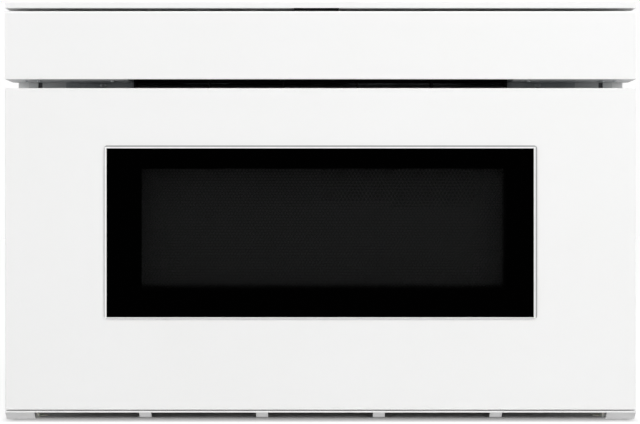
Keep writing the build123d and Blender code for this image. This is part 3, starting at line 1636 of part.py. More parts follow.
print(len(pieces), "pieces written")
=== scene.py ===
import bpy
import json
import math
from mathutils import Matrix, Vector


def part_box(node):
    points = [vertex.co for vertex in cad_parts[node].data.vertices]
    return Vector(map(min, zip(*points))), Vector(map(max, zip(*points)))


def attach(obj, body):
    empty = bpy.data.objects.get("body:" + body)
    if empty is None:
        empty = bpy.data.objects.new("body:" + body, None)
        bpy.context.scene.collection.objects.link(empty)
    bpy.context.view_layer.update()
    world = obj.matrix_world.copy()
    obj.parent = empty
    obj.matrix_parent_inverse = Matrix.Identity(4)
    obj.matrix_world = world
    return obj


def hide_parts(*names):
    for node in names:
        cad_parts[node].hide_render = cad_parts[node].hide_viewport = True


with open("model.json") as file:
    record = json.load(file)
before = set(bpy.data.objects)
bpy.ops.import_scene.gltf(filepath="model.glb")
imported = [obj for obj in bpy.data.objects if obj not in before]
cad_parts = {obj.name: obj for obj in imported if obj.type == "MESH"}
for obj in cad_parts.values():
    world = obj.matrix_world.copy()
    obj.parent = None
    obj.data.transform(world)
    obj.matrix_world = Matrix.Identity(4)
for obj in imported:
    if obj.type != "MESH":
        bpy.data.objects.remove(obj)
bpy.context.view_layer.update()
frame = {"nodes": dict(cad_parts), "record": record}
nodes = frame["nodes"]
mm = 0.001  # the frame is in metres, sizes below are written in millimetres
near = 0.01 * mm  # edges are found to within this
weld = 0.02 * mm  # points nearer than this become one
past = 1 * mm  # how far a cutter or a painted zone reaches past a surface
fromMiddle = -1 * mm  # where a zone starts that takes in its own middle
facingLimit = 0.9  # a face looks along an axis where its normal reaches this far along it
smoothAngle = math.radians(35)
rowShare = math.sqrt(3) / 2  # staggered rows lie this share of their pitch apart
print("frame loaded:", len(nodes), "CAD nodes")


def turned(degrees, axis):
    return Matrix.Rotation(math.radians(degrees), 4, axis)


# how a piece that stands on XY is turned towards each side
turns = {"front": turned(90, "X"), "back": turned(-90, "X"), "right": turned(90, "Y"),
         "left": turned(-90, "Y"), "up": Matrix.Identity(4), "down": turned(180, "X")}


def srgb(hexText):
    # hex colour to the linear values that sockets take
    parts = [int(hexText[start:start + 2], 16) / 255 for start in (1, 3, 5)]
    linear = [part / 12.92 if part <= 0.04045 else ((part + 0.055) / 1.055) ** 2.4 for part in parts]
    return (*linear, 1.0)


def addNode(tree, kind, settings=None, links=None):
    # a shader node with its settings and the sockets that feed it
    node = tree.nodes.new("ShaderNode" + kind)
    for name, value in (settings or {}).items():
        if isinstance(name, int) or name in node.inputs:
            node.inputs[name].default_value = value
        else:
            setattr(node, name, value)
    for name, source in (links or {}).items():
        tree.links.new(source, node.inputs[name])
    return node


def newMaterial(name, look):
    # a Principled material with the plain values of its look
    material = bpy.data.materials.new(name)
    material.use_nodes = True
    shader = material.node_tree.nodes["Principled BSDF"]
    shader.inputs["Base Color"].default_value = srgb(look["colour"])
    shader.inputs["Metallic"].default_value = look.get("metallic", 0.0)
    shader.inputs["Roughness"].default_value = look["roughness"]
    if "ior" in look:
        shader.inputs["IOR"].default_value = look["ior"]
    return material, material.node_tree, shader


def deselectAll():
    bpy.ops.object.select_all(action="DESELECT")


def pick(*objects):
    # select just these, the first one active
    deselectAll()
    for item in objects:
        item.select_set(True)
    bpy.context.view_layer.objects.active = objects[0]


def named(name):
    # the object that an operator has just added
    added = bpy.context.object
    added.name = name
    return added


def clearSelection(item):
    # nothing of the mesh stays selected, and it is left in object mode
    bpy.ops.object.mode_set(mode="OBJECT")
    for part in (*item.data.vertices, *item.data.edges, *item.data.polygons):
        part.select = False


def selectFaces(item, test):
    # in edit mode, the faces whose centre and normal pass the test
    clearSelection(item)
    for face in item.data.polygons:
        face.select = test(face.center, face.normal)
    bpy.ops.object.mode_set(mode="EDIT")
    bpy.ops.mesh.select_mode(type="FACE")


def selectEdges(item, test):
    # in edit mode, the edges whose two ends pass the test
    clearSelection(item)
    for edge in item.data.edges:
        first, last = (item.data.vertices[index].co for index in edge.vertices)
        edge.select = test(first, last)
    bpy.ops.object.mode_set(mode="EDIT")
    bpy.ops.mesh.select_mode(type="EDGE")


def settle(item):
    # its place, turn and size go into its mesh
    pick(item)
    bpy.ops.object.transform_apply(location=True, rotation=True, scale=True)


def startEditing(item):
    settle(item)
    bpy.ops.object.mode_set(mode="EDIT")


def editAll(item):
    # in edit mode, all of the mesh selected
    startEditing(item)
    bpy.ops.mesh.select_all(action="SELECT")


def stopEditing():
    bpy.ops.object.mode_set(mode="OBJECT")


def addBox(name, low, high):
    # a cube between two corners, its place in its mesh
    middle = [(a + b) / 2 for a, b in zip(low, high)]
    size = [b - a for a, b in zip(low, high)]
    deselectAll()
    bpy.ops.mesh.primitive_cube_add(size=1, location=middle, scale=size)
    item = named(name)
    settle(item)
    return item


def useModifier(item, kind, **settings):
    # a modifier, applied at once
    pick(item)
    modifier = item.modifiers.new(kind.title(), kind)
    for name, value in settings.items():
        setattr(modifier, name, value)
    bpy.ops.object.modifier_apply(modifier=modifier.name)


def repeat(item, count, step, **settings):
    # equal copies in a row, each one step on from the last
    useModifier(item, "ARRAY", count=count, use_relative_offset=False, use_constant_offset=True,
                constant_offset_displace=step, **settings)


def cutAway(item, cutter):
    useModifier(item, "BOOLEAN", operation="DIFFERENCE", object=cutter, solver="EXACT")
    bpy.data.objects.remove(cutter)


def cutPlane(item, place, normal, drop=False):
    # a straight cut all through the mesh; drop takes away what lies beyond the normal
    editAll(item)
    bpy.ops.mesh.bisect(plane_co=place, plane_no=normal, clear_outer=drop)
    stopEditing()


def copyTo(item, matrix):
    # a copy with its own mesh, moved by a matrix
    twin = item.copy()
    twin.data = item.data.copy()
    twin.data.transform(matrix)
    bpy.context.collection.objects.link(twin)
    return twin


def joined(name, items):
    pick(*items)
    if len(items) > 1:
        bpy.ops.object.join()
    item = bpy.context.object
    item.name = name
    item.data.name = name
    return item


def finishPiece(item, slotName, body="chassis", replaced=(), material=None):
    # smoothed, in its slot's finish unless it has its own, and riding on its body
    settle(item)
    bpy.ops.object.shade_smooth_by_angle(angle=smoothAngle)
    item.data.materials.clear()
    item.data.materials.append(material or finish[slotName])
    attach(item, body)
    if replaced:
        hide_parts(*replaced)
    return item


def addColours(tree, shader, pattern, look):
    # the base colour runs from a look's colour to its second as a pattern runs from 0 to 1
    mix = addNode(tree, "MixRGB", {"Color1": srgb(look["colour"]), "Color2": srgb(look["second"])},
                  {"Fac": pattern})
    tree.links.new(mix.outputs["Color"], shader.inputs["Base Color"])


def addGloss(tree, shader, pattern, first, second):
    # the roughness runs between two values in the same way
    ramp = addNode(tree, "MapRange", {"To Min": first, "To Max": second}, {"Value": pattern})
    tree.links.new(ramp.outputs["Result"], shader.inputs["Roughness"])


def addRelief(tree, shader, pattern, depth):
    # the surface rises with a pattern, by a real depth
    bump = addNode(tree, "Bump", {"Distance": depth, "Strength": 1.0}, {"Height": pattern})
    tree.links.new(bump.outputs["Normal"], shader.inputs["Normal"])


def addPeel(tree, shader, look):
    # a fine raised skin, its grain a real size across
    place = addNode(tree, "TexCoord").outputs["Object"]
    grain = addNode(tree, "TexNoise", {"Scale": 1 / look["grain"], "Detail": look.get("grainDetail", 2.0)},
                    {"Vector": place})
    addRelief(tree, shader, grain.outputs["Fac"], look["grainDepth"])
    return place


def addMottle(tree, shader, place, look):
    # two near colours in soft patches
    patches = addNode(tree, "TexNoise", {"Scale": 1 / look["patch"], "Detail": 3.0}, {"Vector": place})
    addColours(tree, shader, patches.outputs["Fac"], look)


def addDrawnLines(tree, shader, look):
    # fine straight lines that change the colour and the gloss; their length lies along one axis
    place = addNode(tree, "TexCoord").outputs["Object"]
    scale = [1 / look["lineLength" if axis == look["along"] else "line"] for axis in "XYZ"]
    stretch = addNode(tree, "Mapping", {"Scale": scale}, {"Vector": place})
    lines = addNode(tree, "TexNoise", {"Scale": 1.0, "Detail": 2.0}, {"Vector": stretch.outputs["Vector"]})
    addColours(tree, shader, lines.outputs["Fac"], look)
    addGloss(tree, shader, lines.outputs["Fac"], *look["gloss"])
    return lines.outputs["Fac"]


def addFlakes(tree, shader, place, look):
    # cells of a real size, each with its own grey and its own gloss
    cells = addNode(tree, "TexVoronoi", {"Scale": 1 / look["flake"]}, {"Vector": place})
    shares = addNode(tree, "SeparateColor", None, {"Color": cells.outputs["Color"]})
    addColours(tree, shader, shares.outputs["Red"], look)
    addGloss(tree, shader, shares.outputs[look["glossShare"]], *look["gloss"])


def grainedMaterial(name, look):
    # one colour with a second in soft patches, under a fine raised grain
    material, tree, shader = newMaterial(name, look)
    addMottle(tree, shader, addPeel(tree, shader, look), look)
    return material, tree, shader


def zoneBetween(tree, distance, low, high, blur, within=None):
    # 1 where a distance lies between two values, fading outside them; within keeps it to another zone
    rising = addNode(tree, "MapRange", {"From Min": low - blur, "From Max": low}, {"Value": distance})
    falling = addNode(tree, "MapRange", {"From Min": high + blur, "From Max": high}, {"Value": distance})
    zone = addNode(tree, "Math", {"operation": "MULTIPLY"},
                   {0: rising.outputs["Result"], 1: falling.outputs["Result"]})
    if within:
        zone = addNode(tree, "Math", {"operation": "MULTIPLY"}, {0: zone.outputs["Value"], 1: within})
    return zone.outputs["Value"]


def placeFrom(tree, middle):
    # how far a point lies from a middle along X, Y and Z, the same on both sides
    place = addNode(tree, "TexCoord").outputs["Object"]
    offset = addNode(tree, "VectorMath", {"operation": "SUBTRACT", 1: middle}, {0: place})
    size = addNode(tree, "VectorMath", {"operation": "ABSOLUTE"}, {0: offset.outputs["Vector"]})
    return addNode(tree, "SeparateXYZ", None, {"Vector": size.outputs["Vector"]}).outputs


def paintZone(tree, shader, zone, colour):
    # another colour over what the base colour has so far, where the zone is
    before = shader.inputs["Base Color"].links[0].from_socket
    over = addNode(tree, "MixRGB", {"Color2": srgb(colour)}, {"Fac": zone, "Color1": before})
    tree.links.new(over.outputs["Color"], shader.inputs["Base Color"])


# powder-coated steel: an even white with a soft gloss and a faint orange peel
def powderCoatedSteel(name):
    look = {"colour": "#F2F2F1", "second": "#F4F4F4", "roughness": 0.42,
            "grain": 1.8 * mm, "grainDepth": 0.012 * mm, "patch": 90 * mm}
    return grainedMaterial(name, look)


# the flap's coating, with painted shade on its underside: black in the middle, pale grey beside it and
# paler towards the ends; a painted highlight runs along its top edge
def flapCoatWithPaintedShadeAndHighlight():
    look = {"paintedShadeBlack": "#040405", "primerAndPaintedLight": "#D0D2D3", "edge": "#E8E9EA", "blackShadeHalf": 186 * mm,
            "paleShadeHalf": 287 * mm, "skin": 0.9 * mm, "skinBlur": 0.1 * mm, "sideBlur": 0.5 * mm,
            "frontEdge": 1.0 * mm, "frontBlur": 0.3 * mm, "underRoughness": 0.15,
            "crestHighlight": "#FCFCFC", "crestHeight": 1.9 * mm, "crestBlur": 0.4 * mm}
    material, tree, shader = powderCoatedSteel("flapCoatWithPaintedShadeAndHighlight")
    low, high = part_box("control_flap")
    axes = placeFrom(tree, (0, low.y, low.z))
    behind = zoneBetween(tree, axes["Y"], look["frontEdge"], high.y - low.y, look["frontBlur"])
    under = zoneBetween(tree, axes["Z"], fromMiddle, look["skin"], look["skinBlur"], behind)
    # painted shade on the underside: black in the middle, pale grey beside it, paler towards the ends
    for colour, reach in (("edge", high.x), ("primerAndPaintedLight", look["paleShadeHalf"]), ("paintedShadeBlack", look["blackShadeHalf"])):
        across = zoneBetween(tree, axes["X"], fromMiddle, reach, look["sideBlur"], under)
        paintZone(tree, shader, across, look[colour])
    # a painted highlight along the top edge
    height = high.z - low.z
    crestHighlight = zoneBetween(tree, axes["Z"], height - look["crestHeight"], height, look["crestBlur"])
    paintZone(tree, shader, crestHighlight, look["crestHighlight"])
    addGloss(tree, shader, under, shader.inputs["Roughness"].default_value, look["underRoughness"])
    return material


# the bezel's coating: a painted shadow line in grey along its outer step, and black glazing sealant along
# its inner edge
def bezelCoatWithPaintedShadow():
    look = {"step": "#A4A4A4", "sealant": "#010101", "stepTop": 1.3 * mm, "stepLeft": 0.5 * mm,
            "stepRight": 1.3 * mm, "stepLow": 0.3 * mm, "sealLeft": 2.6 * mm, "sealRight": 3.2 * mm,
            "sealTop": 2.8 * mm, "sealLow": 1.5 * mm, "sealRoughness": 0.05, "blur": 0.1 * mm}
    material, tree, shader = powderCoatedSteel("bezelCoatWithPaintedShadow")
    low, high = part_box("window_bezel")
    blur = look["blur"]
    place = addNode(tree, "TexCoord").outputs["Object"]
    axes = addNode(tree, "SeparateXYZ", None, {"Vector": place}).outputs
    across, upward = axes["X"], axes["Z"]
    # painted shadow: a grey line along the outer step, wider at the top and the right
    for distance, start, end in ((across, low.x, low.x + look["stepLeft"]),
                                 (across, high.x - look["stepRight"], high.x),
                                 (upward, low.z, low.z + look["stepLow"]),
                                 (upward, high.z - look["stepTop"], high.z)):
        paintZone(tree, shader, zoneBetween(tree, distance, start, end, blur), look["step"])
    between = zoneBetween(tree, across, low.x + look["sealLeft"], high.x - look["sealRight"], blur)
    sealed = zoneBetween(tree, upward, low.z + look["sealLow"], high.z - look["sealTop"], blur, between)
    paintZone(tree, shader, sealed, look["sealant"])
    addGloss(tree, shader, sealed, shader.inputs["Roughness"].default_value, look["sealRoughness"])
    return material


# the bottom strip's coating with painted shade: greyer on the slotted face, lighter towards its foot, a
# dark painted shadow along the slots' sill, and primer inside
def trimCoatWithPaintedShade():
    look = {"primerAndPaintedLight": "#D0D0D0", "hidden": 9.5 * mm, "face": "#DEDEDE", "faceHigh": 7.9 * mm,
            "foot": "#E8E8E8", "footHigh": 2.2 * mm, "paintedSillShadow": "#949494", "sillLow": 2.1 * mm,
            "sillHigh": 3.0 * mm, "sillHalf": 275 * mm, "blur": 0.4 * mm, "footBlur": 4 * mm,
            "sillBlur": 1 * mm}
    material, tree, shader = powderCoatedSteel("trimCoatWithPaintedShade")
    low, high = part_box("bottom_trim")
    place = addNode(tree, "TexCoord").outputs["Object"]
    axes = addNode(tree, "SeparateXYZ", None, {"Vector": place}).outputs
    # painted shade on the slotted face below the lip, lighter again towards the foot
    face = zoneBetween(tree, axes["Z"], 0, look["faceHigh"], look["blur"])
    paintZone(tree, shader, face, look["face"])
    foot = zoneBetween(tree, axes["Z"], 0, look["footHigh"], look["footBlur"])
    paintZone(tree, shader, foot, look["foot"])
    # a painted shadow along the sill of the slots
    across = zoneBetween(tree, axes["X"], -look["sillHalf"], look["sillHalf"], look["blur"])
    paintedSillShadow = zoneBetween(tree, axes["Z"], look["sillLow"], look["sillHigh"], look["sillBlur"], across)
    paintZone(tree, shader, paintedSillShadow, look["paintedSillShadow"])
    inside = zoneBetween(tree, axes["Y"], low.y + look["hidden"], high.y + past, look["blur"])
    paintZone(tree, shader, inside, look["primerAndPaintedLight"])
    return material


# hot-dip galvanised sheet: crystal spangles that differ a little in grey and gloss
def galvanisedSheet(name):
    look = {"colour": "#B4B8BB", "second": "#9FA4A8", "metallic": 1.0, "roughness": 0.4,
            "flake": 9 * mm, "gloss": (0.33, 0.5), "glossShare": "Green",
            "grain": 0.9 * mm, "grainDepth": 0.006 * mm}
    material, tree, shader = newMaterial(name, look)
    addFlakes(tree, shader, addPeel(tree, shader, look), look)
    return material, tree, shader


# the chassis plate: galvanised, with painted light on its flange towards the open ends: white at the edge,
# then a pale band, a dark seam and paler zinc
def flangeWithPaintedLight():
    look = {"edge": "#F4F5F5", "primerAndPaintedLight": "#E0E2E2", "seam": "#5E6062", "pale": "#D2D4D5",
            "edgeFrom": 289 * mm, "lighterBandFrom": 279 * mm, "seamFrom": 275.5 * mm, "paleFrom": 252 * mm,
            "blur": 0.2 * mm, "fade": 12 * mm}
    material, tree, shader = galvanisedSheet("flangeWithPaintedLight")
    axes = placeFrom(tree, (0, 0, 0))
    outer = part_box("front_frame")[1].x + past
    # painted light: bands that brighten the flange towards its open ends
    for colour, start, end in (("pale", "paleFrom", "seamFrom"), ("primerAndPaintedLight", "lighterBandFrom", "edgeFrom"),
                               ("edge", "edgeFrom", None), ("seam", "seamFrom", "lighterBandFrom")):
        reach = look[end] if end else outer
        zone = zoneBetween(tree, axes["X"], look[start], reach, look["blur"])
        paintZone(tree, shader, zone, look[colour])
    # painted light: the flange is less metallic towards its ends, so that it looks brighter there
    paintedLightFade = addNode(tree, "MapRange",
                     {"From Min": look["paleFrom"] - look["fade"], "From Max": look["seamFrom"],
                      "To Min": 1.0, "To Max": 0.0}, {"Value": axes["X"]})
    tree.links.new(paintedLightFade.outputs["Result"], shader.inputs["Metallic"])
    return material


# zinc-plated drawn steel: bright, with fine lines along the way it was drawn
def platedSteel():
    look = {"colour": "#C6C9CC", "second": "#B2B6BA", "metallic": 1.0, "roughness": 0.28,
            "gloss": (0.22, 0.36), "along": "Y", "line": 0.6 * mm, "lineLength": 40 * mm,
            "lineDepth": 0.004 * mm}
    material, tree, shader = newMaterial("platedSlideSteel", look)
    lines = addDrawnLines(tree, shader, look)
    addRelief(tree, shader, lines, look["lineDepth"])
    return material


# baked oven paint: mid grey, satin, with a fine sprayed speckle
def bakedOvenPaint(name):
    look = {"colour": "#A3A3A2", "second": "#979796", "roughness": 0.42,
            "grain": 1.1 * mm, "grainDepth": 0.02 * mm, "patch": 24 * mm}
    return grainedMaterial(name, look)


# the cavity's oven paint, with painted shade: its rear wall is painted dark behind the basket's vents
def cavityPaintWithPaintedShade():
    look = {"paintedVentShade": "#0C0C0C", "left": -2 * mm, "right": 208 * mm, "low": 205 * mm, "wall": 1.5 * mm,
            "blur": 1 * mm, "wallBlur": 0.2 * mm}
    material, tree, shader = bakedOvenPaint("cavityPaintWithPaintedShade")
    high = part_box("oven_cavity")[1]
    place = addNode(tree, "TexCoord").outputs["Object"]
    axes = addNode(tree, "SeparateXYZ", None, {"Vector": place}).outputs
    across = zoneBetween(tree, axes["X"], look["left"], look["right"], look["blur"])
    vented = zoneBetween(tree, axes["Z"], look["low"], high.z, look["blur"], across)
    # painted shade: the rear wall dark behind the vents
    rear = zoneBetween(tree, axes["Y"], high.y - look["wall"], high.y, look["wallBlur"], vented)
    paintZone(tree, shader, rear, look["paintedVentShade"])
    return material


flow = {"wave": 60 * mm, "depth": 0.004 * mm}


def addFlow(tree, shader, place):
    # the long faint waves of rolled glass
    waves = addNode(tree, "TexNoise", {"Scale": 1 / flow["wave"], "Detail": 1.0}, {"Vector": place})
    addRelief(tree, shader, waves.outputs["Fac"], flow["depth"])


# float glass with a fired black border: a mirror-flat black that clears in the middle; on the right the
# clear middle fades softly into the black, a painted shade of the inside wall
def borderedGlass():
    look = {"colour": "#000000", "roughness": 0.04, "ior": 1.52, "clear": 0.6,
            "dotPitch": 3.4 * mm, "dotReach": 2.2 * mm,
            "left": (-173.2 * mm, -172.0 * mm), "right": (181.5 * mm, 173.5 * mm),
            "low": (123.5 * mm, 133.5 * mm), "high": (243.8 * mm, 242.4 * mm)}
    material, tree, shader = newMaterial("borderedGlass", look)
    place = addNode(tree, "TexCoord").outputs["Object"]
    axes = addNode(tree, "SeparateXYZ", None, {"Vector": place}).outputs
    # the border breaks up into dots along its low edge
    dots = []
    for axis in ("X", "Z"):
        turn = addNode(tree, "Math", {"operation": "MULTIPLY", 1: 2 * math.pi / look["dotPitch"]},
                       {0: axes[axis]})
        dots.append(addNode(tree, "Math", {"operation": "SINE"}, {0: turn.outputs["Value"]}))
    grid = addNode(tree, "Math", {"operation": "MULTIPLY"},
                   {0: dots[0].outputs["Value"], 1: dots[1].outputs["Value"]})
    dotted = addNode(tree, "Math", {"operation": "MULTIPLY_ADD", 1: look["dotReach"]},
                     {0: grid.outputs["Value"], 2: axes["Z"]})
    # the right edge fades over a wider span as painted shade of the inside wall
    edges = (("left", axes["X"]), ("right", axes["X"]), ("low", dotted.outputs["Value"]),
             ("high", axes["Z"]))
    ramps = [addNode(tree, "MapRange",
                     {"interpolation_type": "SMOOTHSTEP", "From Min": look[edge][0],
                      "From Max": look[edge][1]}, {"Value": distance}).outputs["Result"]
             for edge, distance in edges]
    view = ramps[0]
    for ramp in ramps[1:]:
        both = addNode(tree, "Math", {"operation": "MULTIPLY"}, {0: view, 1: ramp})
        view = both.outputs["Value"]
    alpha = addNode(tree, "MapRange", {"To Min": 1.0, "To Max": 1 - look["clear"]}, {"Value": view})
    tree.links.new(alpha.outputs["Result"], shader.inputs["Alpha"])
    addFlow(tree, shader, place)
    return material


# clear tempered soda-lime glass: almost unseen face on, a faint green in the edge
def temperedGlass():
    look = {"colour": "#D2D6D4", "roughness": 0.03, "ior": 1.52, "alpha": 0.16,
            "edgeAlpha": 0.85, "edgeBlend": 0.35}
    material, tree, shader = newMaterial("temperedGlass", look)
    place = addNode(tree, "TexCoord").outputs["Object"]
    facing = addNode(tree, "LayerWeight", {"Blend": look["edgeBlend"]})
    alpha = addNode(tree, "MapRange", {"To Min": look["alpha"], "To Max": look["edgeAlpha"]},
                    {"Value": facing.outputs["Facing"]})
    tree.links.new(alpha.outputs["Result"], shader.inputs["Alpha"])
    addFlow(tree, shader, place)
    return material


# dark grey stoved paint on punched sheet: thin, even and half matt
def stovedGreyPaint():
    look = {"colour": "#424242", "second": "#3E3E3F", "roughness": 0.6,
            "grain": 0.8 * mm, "grainDepth": 0.01 * mm, "patch": 12 * mm}
    return grainedMaterial("stovedGreyPaint", look)[0]


# moulded black ABS: spark-eroded mould grain, drawn a little coarse so that it shows
def mouldedBlackAbs():
    look = {"colour": "#1A1A1B", "second": "#151516", "roughness": 0.52, "grain": 0.7 * mm,
            "grainDepth": 0.03 * mm, "grainDetail": 4.0, "patch": 30 * mm}
    return grainedMaterial("mouldedBlackAbs", look)[0]


# back-printed touch glass: deep gloss black
def backPrintedGlass():
    look = {"colour": "#060607", "second": "#09090A", "roughness": 0.06, "ior": 1.52, "patch": 40 * mm}
    material, tree, shader = newMaterial("backPrintedGlass", look)
    place = addNode(tree, "TexCoord").outputs["Object"]
    addMottle(tree, shader, place, look)
    addFlow(tree, shader, place)
    return material


# injection-moulded natural nylon: milky, waxy gloss, light passes a little way in
def naturalNylon():
    look = {"colour": "#E8E6DE", "second": "#DFDCD2", "roughness": 0.38, "ior": 1.53,
            "grain": 1.2 * mm, "grainDepth": 0.01 * mm, "patch": 14 * mm,
            "milkiness": 0.15, "milkDepth": 1.5 * mm}
    material, _, shader = grainedMaterial("naturalNylon", look)
    shader.inputs["Subsurface Weight"].default_value = look["milkiness"]
    shader.inputs["Subsurface Scale"].default_value = look["milkDepth"]
    return material


# mill-finish aluminium: pale grey with straight rolling lines
def millAluminium():
    look = {"colour": "#CFD1D3", "second": "#BEC1C4", "metallic": 1.0, "roughness": 0.35,
            "gloss": (0.28, 0.42), "along": "X", "line": 0.8 * mm, "lineLength": 45 * mm}
    material, tree, shader = newMaterial("millAluminium", look)
    addDrawnLines(tree, shader, look)
    return material


# varnished core plates and enamelled copper: brown coils stand out of a dark stack
def coreAndCoils():
    look = {"colour": "#4A4B4D", "second": "#38393B", "copper": "#8A4B22", "copperDark": "#6B3718",
            "roughness": 0.45, "plate": 10.05 * mm, "plateWaver": 0.4, "wire": 8.17 * mm,
            "wireWaver": 0.3, "coilProud": 11.5 * mm}
    waveTurn = 20  # the wave pattern turns through this many radians in a unit
    material, tree, shader = newMaterial("coreAndCoils", look)
    low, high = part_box("high_voltage_transformer")
    coreFace = (high.y - low.y) / 2 - look["coilProud"]  # past it only the coils stand proud
    place = addNode(tree, "TexCoord").outputs["Object"]
    # plates and wires are drawn coarse, so that they show
    colours = []
    for part, direction, dark, pale in (("plate", "X", "second", "colour"),
                                        ("wire", "Z", "copperDark", "copper")):
        bands = addNode(tree, "TexWave",
                        {"bands_direction": direction, "Scale": 2 * math.pi / look[part] / waveTurn,
                         "Distortion": look[part + "Waver"]}, {"Vector": place})
        mix = addNode(tree, "MixRGB", {"Color1": srgb(look[dark]), "Color2": srgb(look[pale])},
                      {"Fac": bands.outputs["Fac"]})
        colours.append(mix.outputs["Color"])
    axes = addNode(tree, "SeparateXYZ", None, {"Vector": place}).outputs
    offset = addNode(tree, "Math", {"operation": "SUBTRACT", 1: (low.y + high.y) / 2}, {0: axes["Y"]})
    far = addNode(tree, "Math", {"operation": "ABSOLUTE"}, {0: offset.outputs["Value"]})
    isCoil = addNode(tree, "Math", {"operation": "GREATER_THAN", 1: coreFace}, {0: far.outputs["Value"]})
    mix = addNode(tree, "MixRGB", None,
                  {"Fac": isCoil.outputs["Value"], "Color1": colours[0], "Color2": colours[1]})
    tree.links.new(mix.outputs["Color"], shader.inputs["Base Color"])
    return material


# glass-epoxy laminate under green solder mask: tracks show as a paler green
def solderMaskedBoard(name, partsAbove):
    look = {"colour": "#1E5A34", "paler": "#2C7446", "part": "#23242A", "partTop": "#D9D6CC",
            "roughness": 0.35, "track": 5 * mm, "trackShare": 0.03, "case": 30 * mm}
    material, tree, shader = newMaterial(name, look)
    place = addNode(tree, "TexCoord").outputs["Object"]
    tracks = addNode(tree, "TexBrick",
                     {"Color1": srgb(look["colour"]), "Color2": srgb(look["colour"]),
                      "Mortar": srgb(look["paler"]), "Scale": 1 / look["track"] / 2,
                      "Mortar Size": look["trackShare"]}, {"Vector": place})
    axes = addNode(tree, "SeparateXYZ", None, {"Vector": place}).outputs
    isPart = addNode(tree, "Math", {"operation": "GREATER_THAN", 1: partsAbove}, {0: axes["Z"]})
    cases = addNode(tree, "TexVoronoi", {"Scale": 1 / look["case"]}, {"Vector": place})
    caseGrey = addNode(tree, "SeparateColor", None, {"Color": cases.outputs["Color"]})
    caseColour = addNode(tree, "MixRGB", {"Color1": srgb(look["part"]), "Color2": srgb(look["partTop"])},
                         {"Fac": caseGrey.outputs["Red"]})
    mix = addNode(tree, "MixRGB", None,
                  {"Fac": isPart.outputs["Value"], "Color1": tracks.outputs["Color"],
                   "Color2": caseColour.outputs["Color"]})
    tree.links.new(mix.outputs["Color"], shader.inputs["Base Color"])
    return material


# zinc-passivated deep-drawn can: dull silver with a trace of yellow
def passivatedCan():
    look = {"colour": "#A9ABAA", "second": "#9C9B90", "metallic": 1.0, "roughness": 0.42,
            "grain": 2.0 * mm, "grainDepth": 0.008 * mm, "patch": 10 * mm}
    return grainedMaterial("passivatedCan", look)[0]


# cut mica sheet: tan flakes, each with its own small gloss
def cutMica():
    look = {"colour": "#CDBE9C", "second": "#B4A47F", "roughness": 0.3, "flake": 5 * mm,
            "gloss": (0.2, 0.45), "glossShare": "Blue"}
    material, tree, shader = newMaterial("cutMica", look)
    addFlakes(tree, shader, addNode(tree, "TexCoord").outputs["Object"], look)
    return material


# screen-printed ink: flat pale grey figures
def printedInk():
    look = {"colour": "#D8DADC", "second": "#CDD0D3", "roughness": 0.6, "patch": 3 * mm}
    material, tree, shader = newMaterial("printedInk", look)
    place = addNode(tree, "TexCoord").outputs["Object"]
    addMottle(tree, shader, place, look)
    return material


partsRise = 32.2 * mm  # how far the parts stand up from the power board
finish = {
    "white_enamel": powderCoatedSteel("powderCoatedSteel")[0],
    "galvanised_steel": galvanisedSheet("galvanisedSheet")[0],
    "oven_paint": bakedOvenPaint("bakedOvenPaint")[0],
    "bordered_glass": borderedGlass(),
    "clear_glass": temperedGlass(),
    "screen_paint": stovedGreyPaint(),
    "black_plastic": mouldedBlackAbs(),
    "touch_glass": backPrintedGlass(),
    "white_nylon": naturalNylon(),
    "bright_steel": platedSteel(),
    "aluminium": millAluminium(),
    "core_iron": coreAndCoils(),
    "circuit_board": solderMaskedBoard("powerBoard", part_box("power_board")[1].z - partsRise),
    "motor_can": passivatedCan(),
    "mica": cutMica(),
}
for row in frame["record"]["subparts"]:
    for place in nodes[row["node"]].material_slots:
        place.material = finish[row["material_slot"]]
ownFinish = {
    "control_board": solderMaskedBoard("keyBoard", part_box("control_board")[1].z),
    "control_flap": flapCoatWithPaintedShadeAndHighlight(),
    "window_bezel": bezelCoatWithPaintedShadow(),
    "front_frame": flangeWithPaintedLight(),
    "bottom_trim": trimCoatWithPaintedShade(),
    "oven_cavity": cavityPaintWithPaintedShade(),
}
for name, material in ownFinish.items():
    for place in nodes[name].material_slots:
        place.material = material
print("materials on every CAD node")


# door screen: punched sheet with its edge turned back
doorScreen = {"pitch": 3.2 * mm, "hole": 1.5 * mm, "sheet": 0.8 * mm,
              "left": -175 * mm, "right": 183 * mm, "low": 122 * mm, "high": 245 * mm}


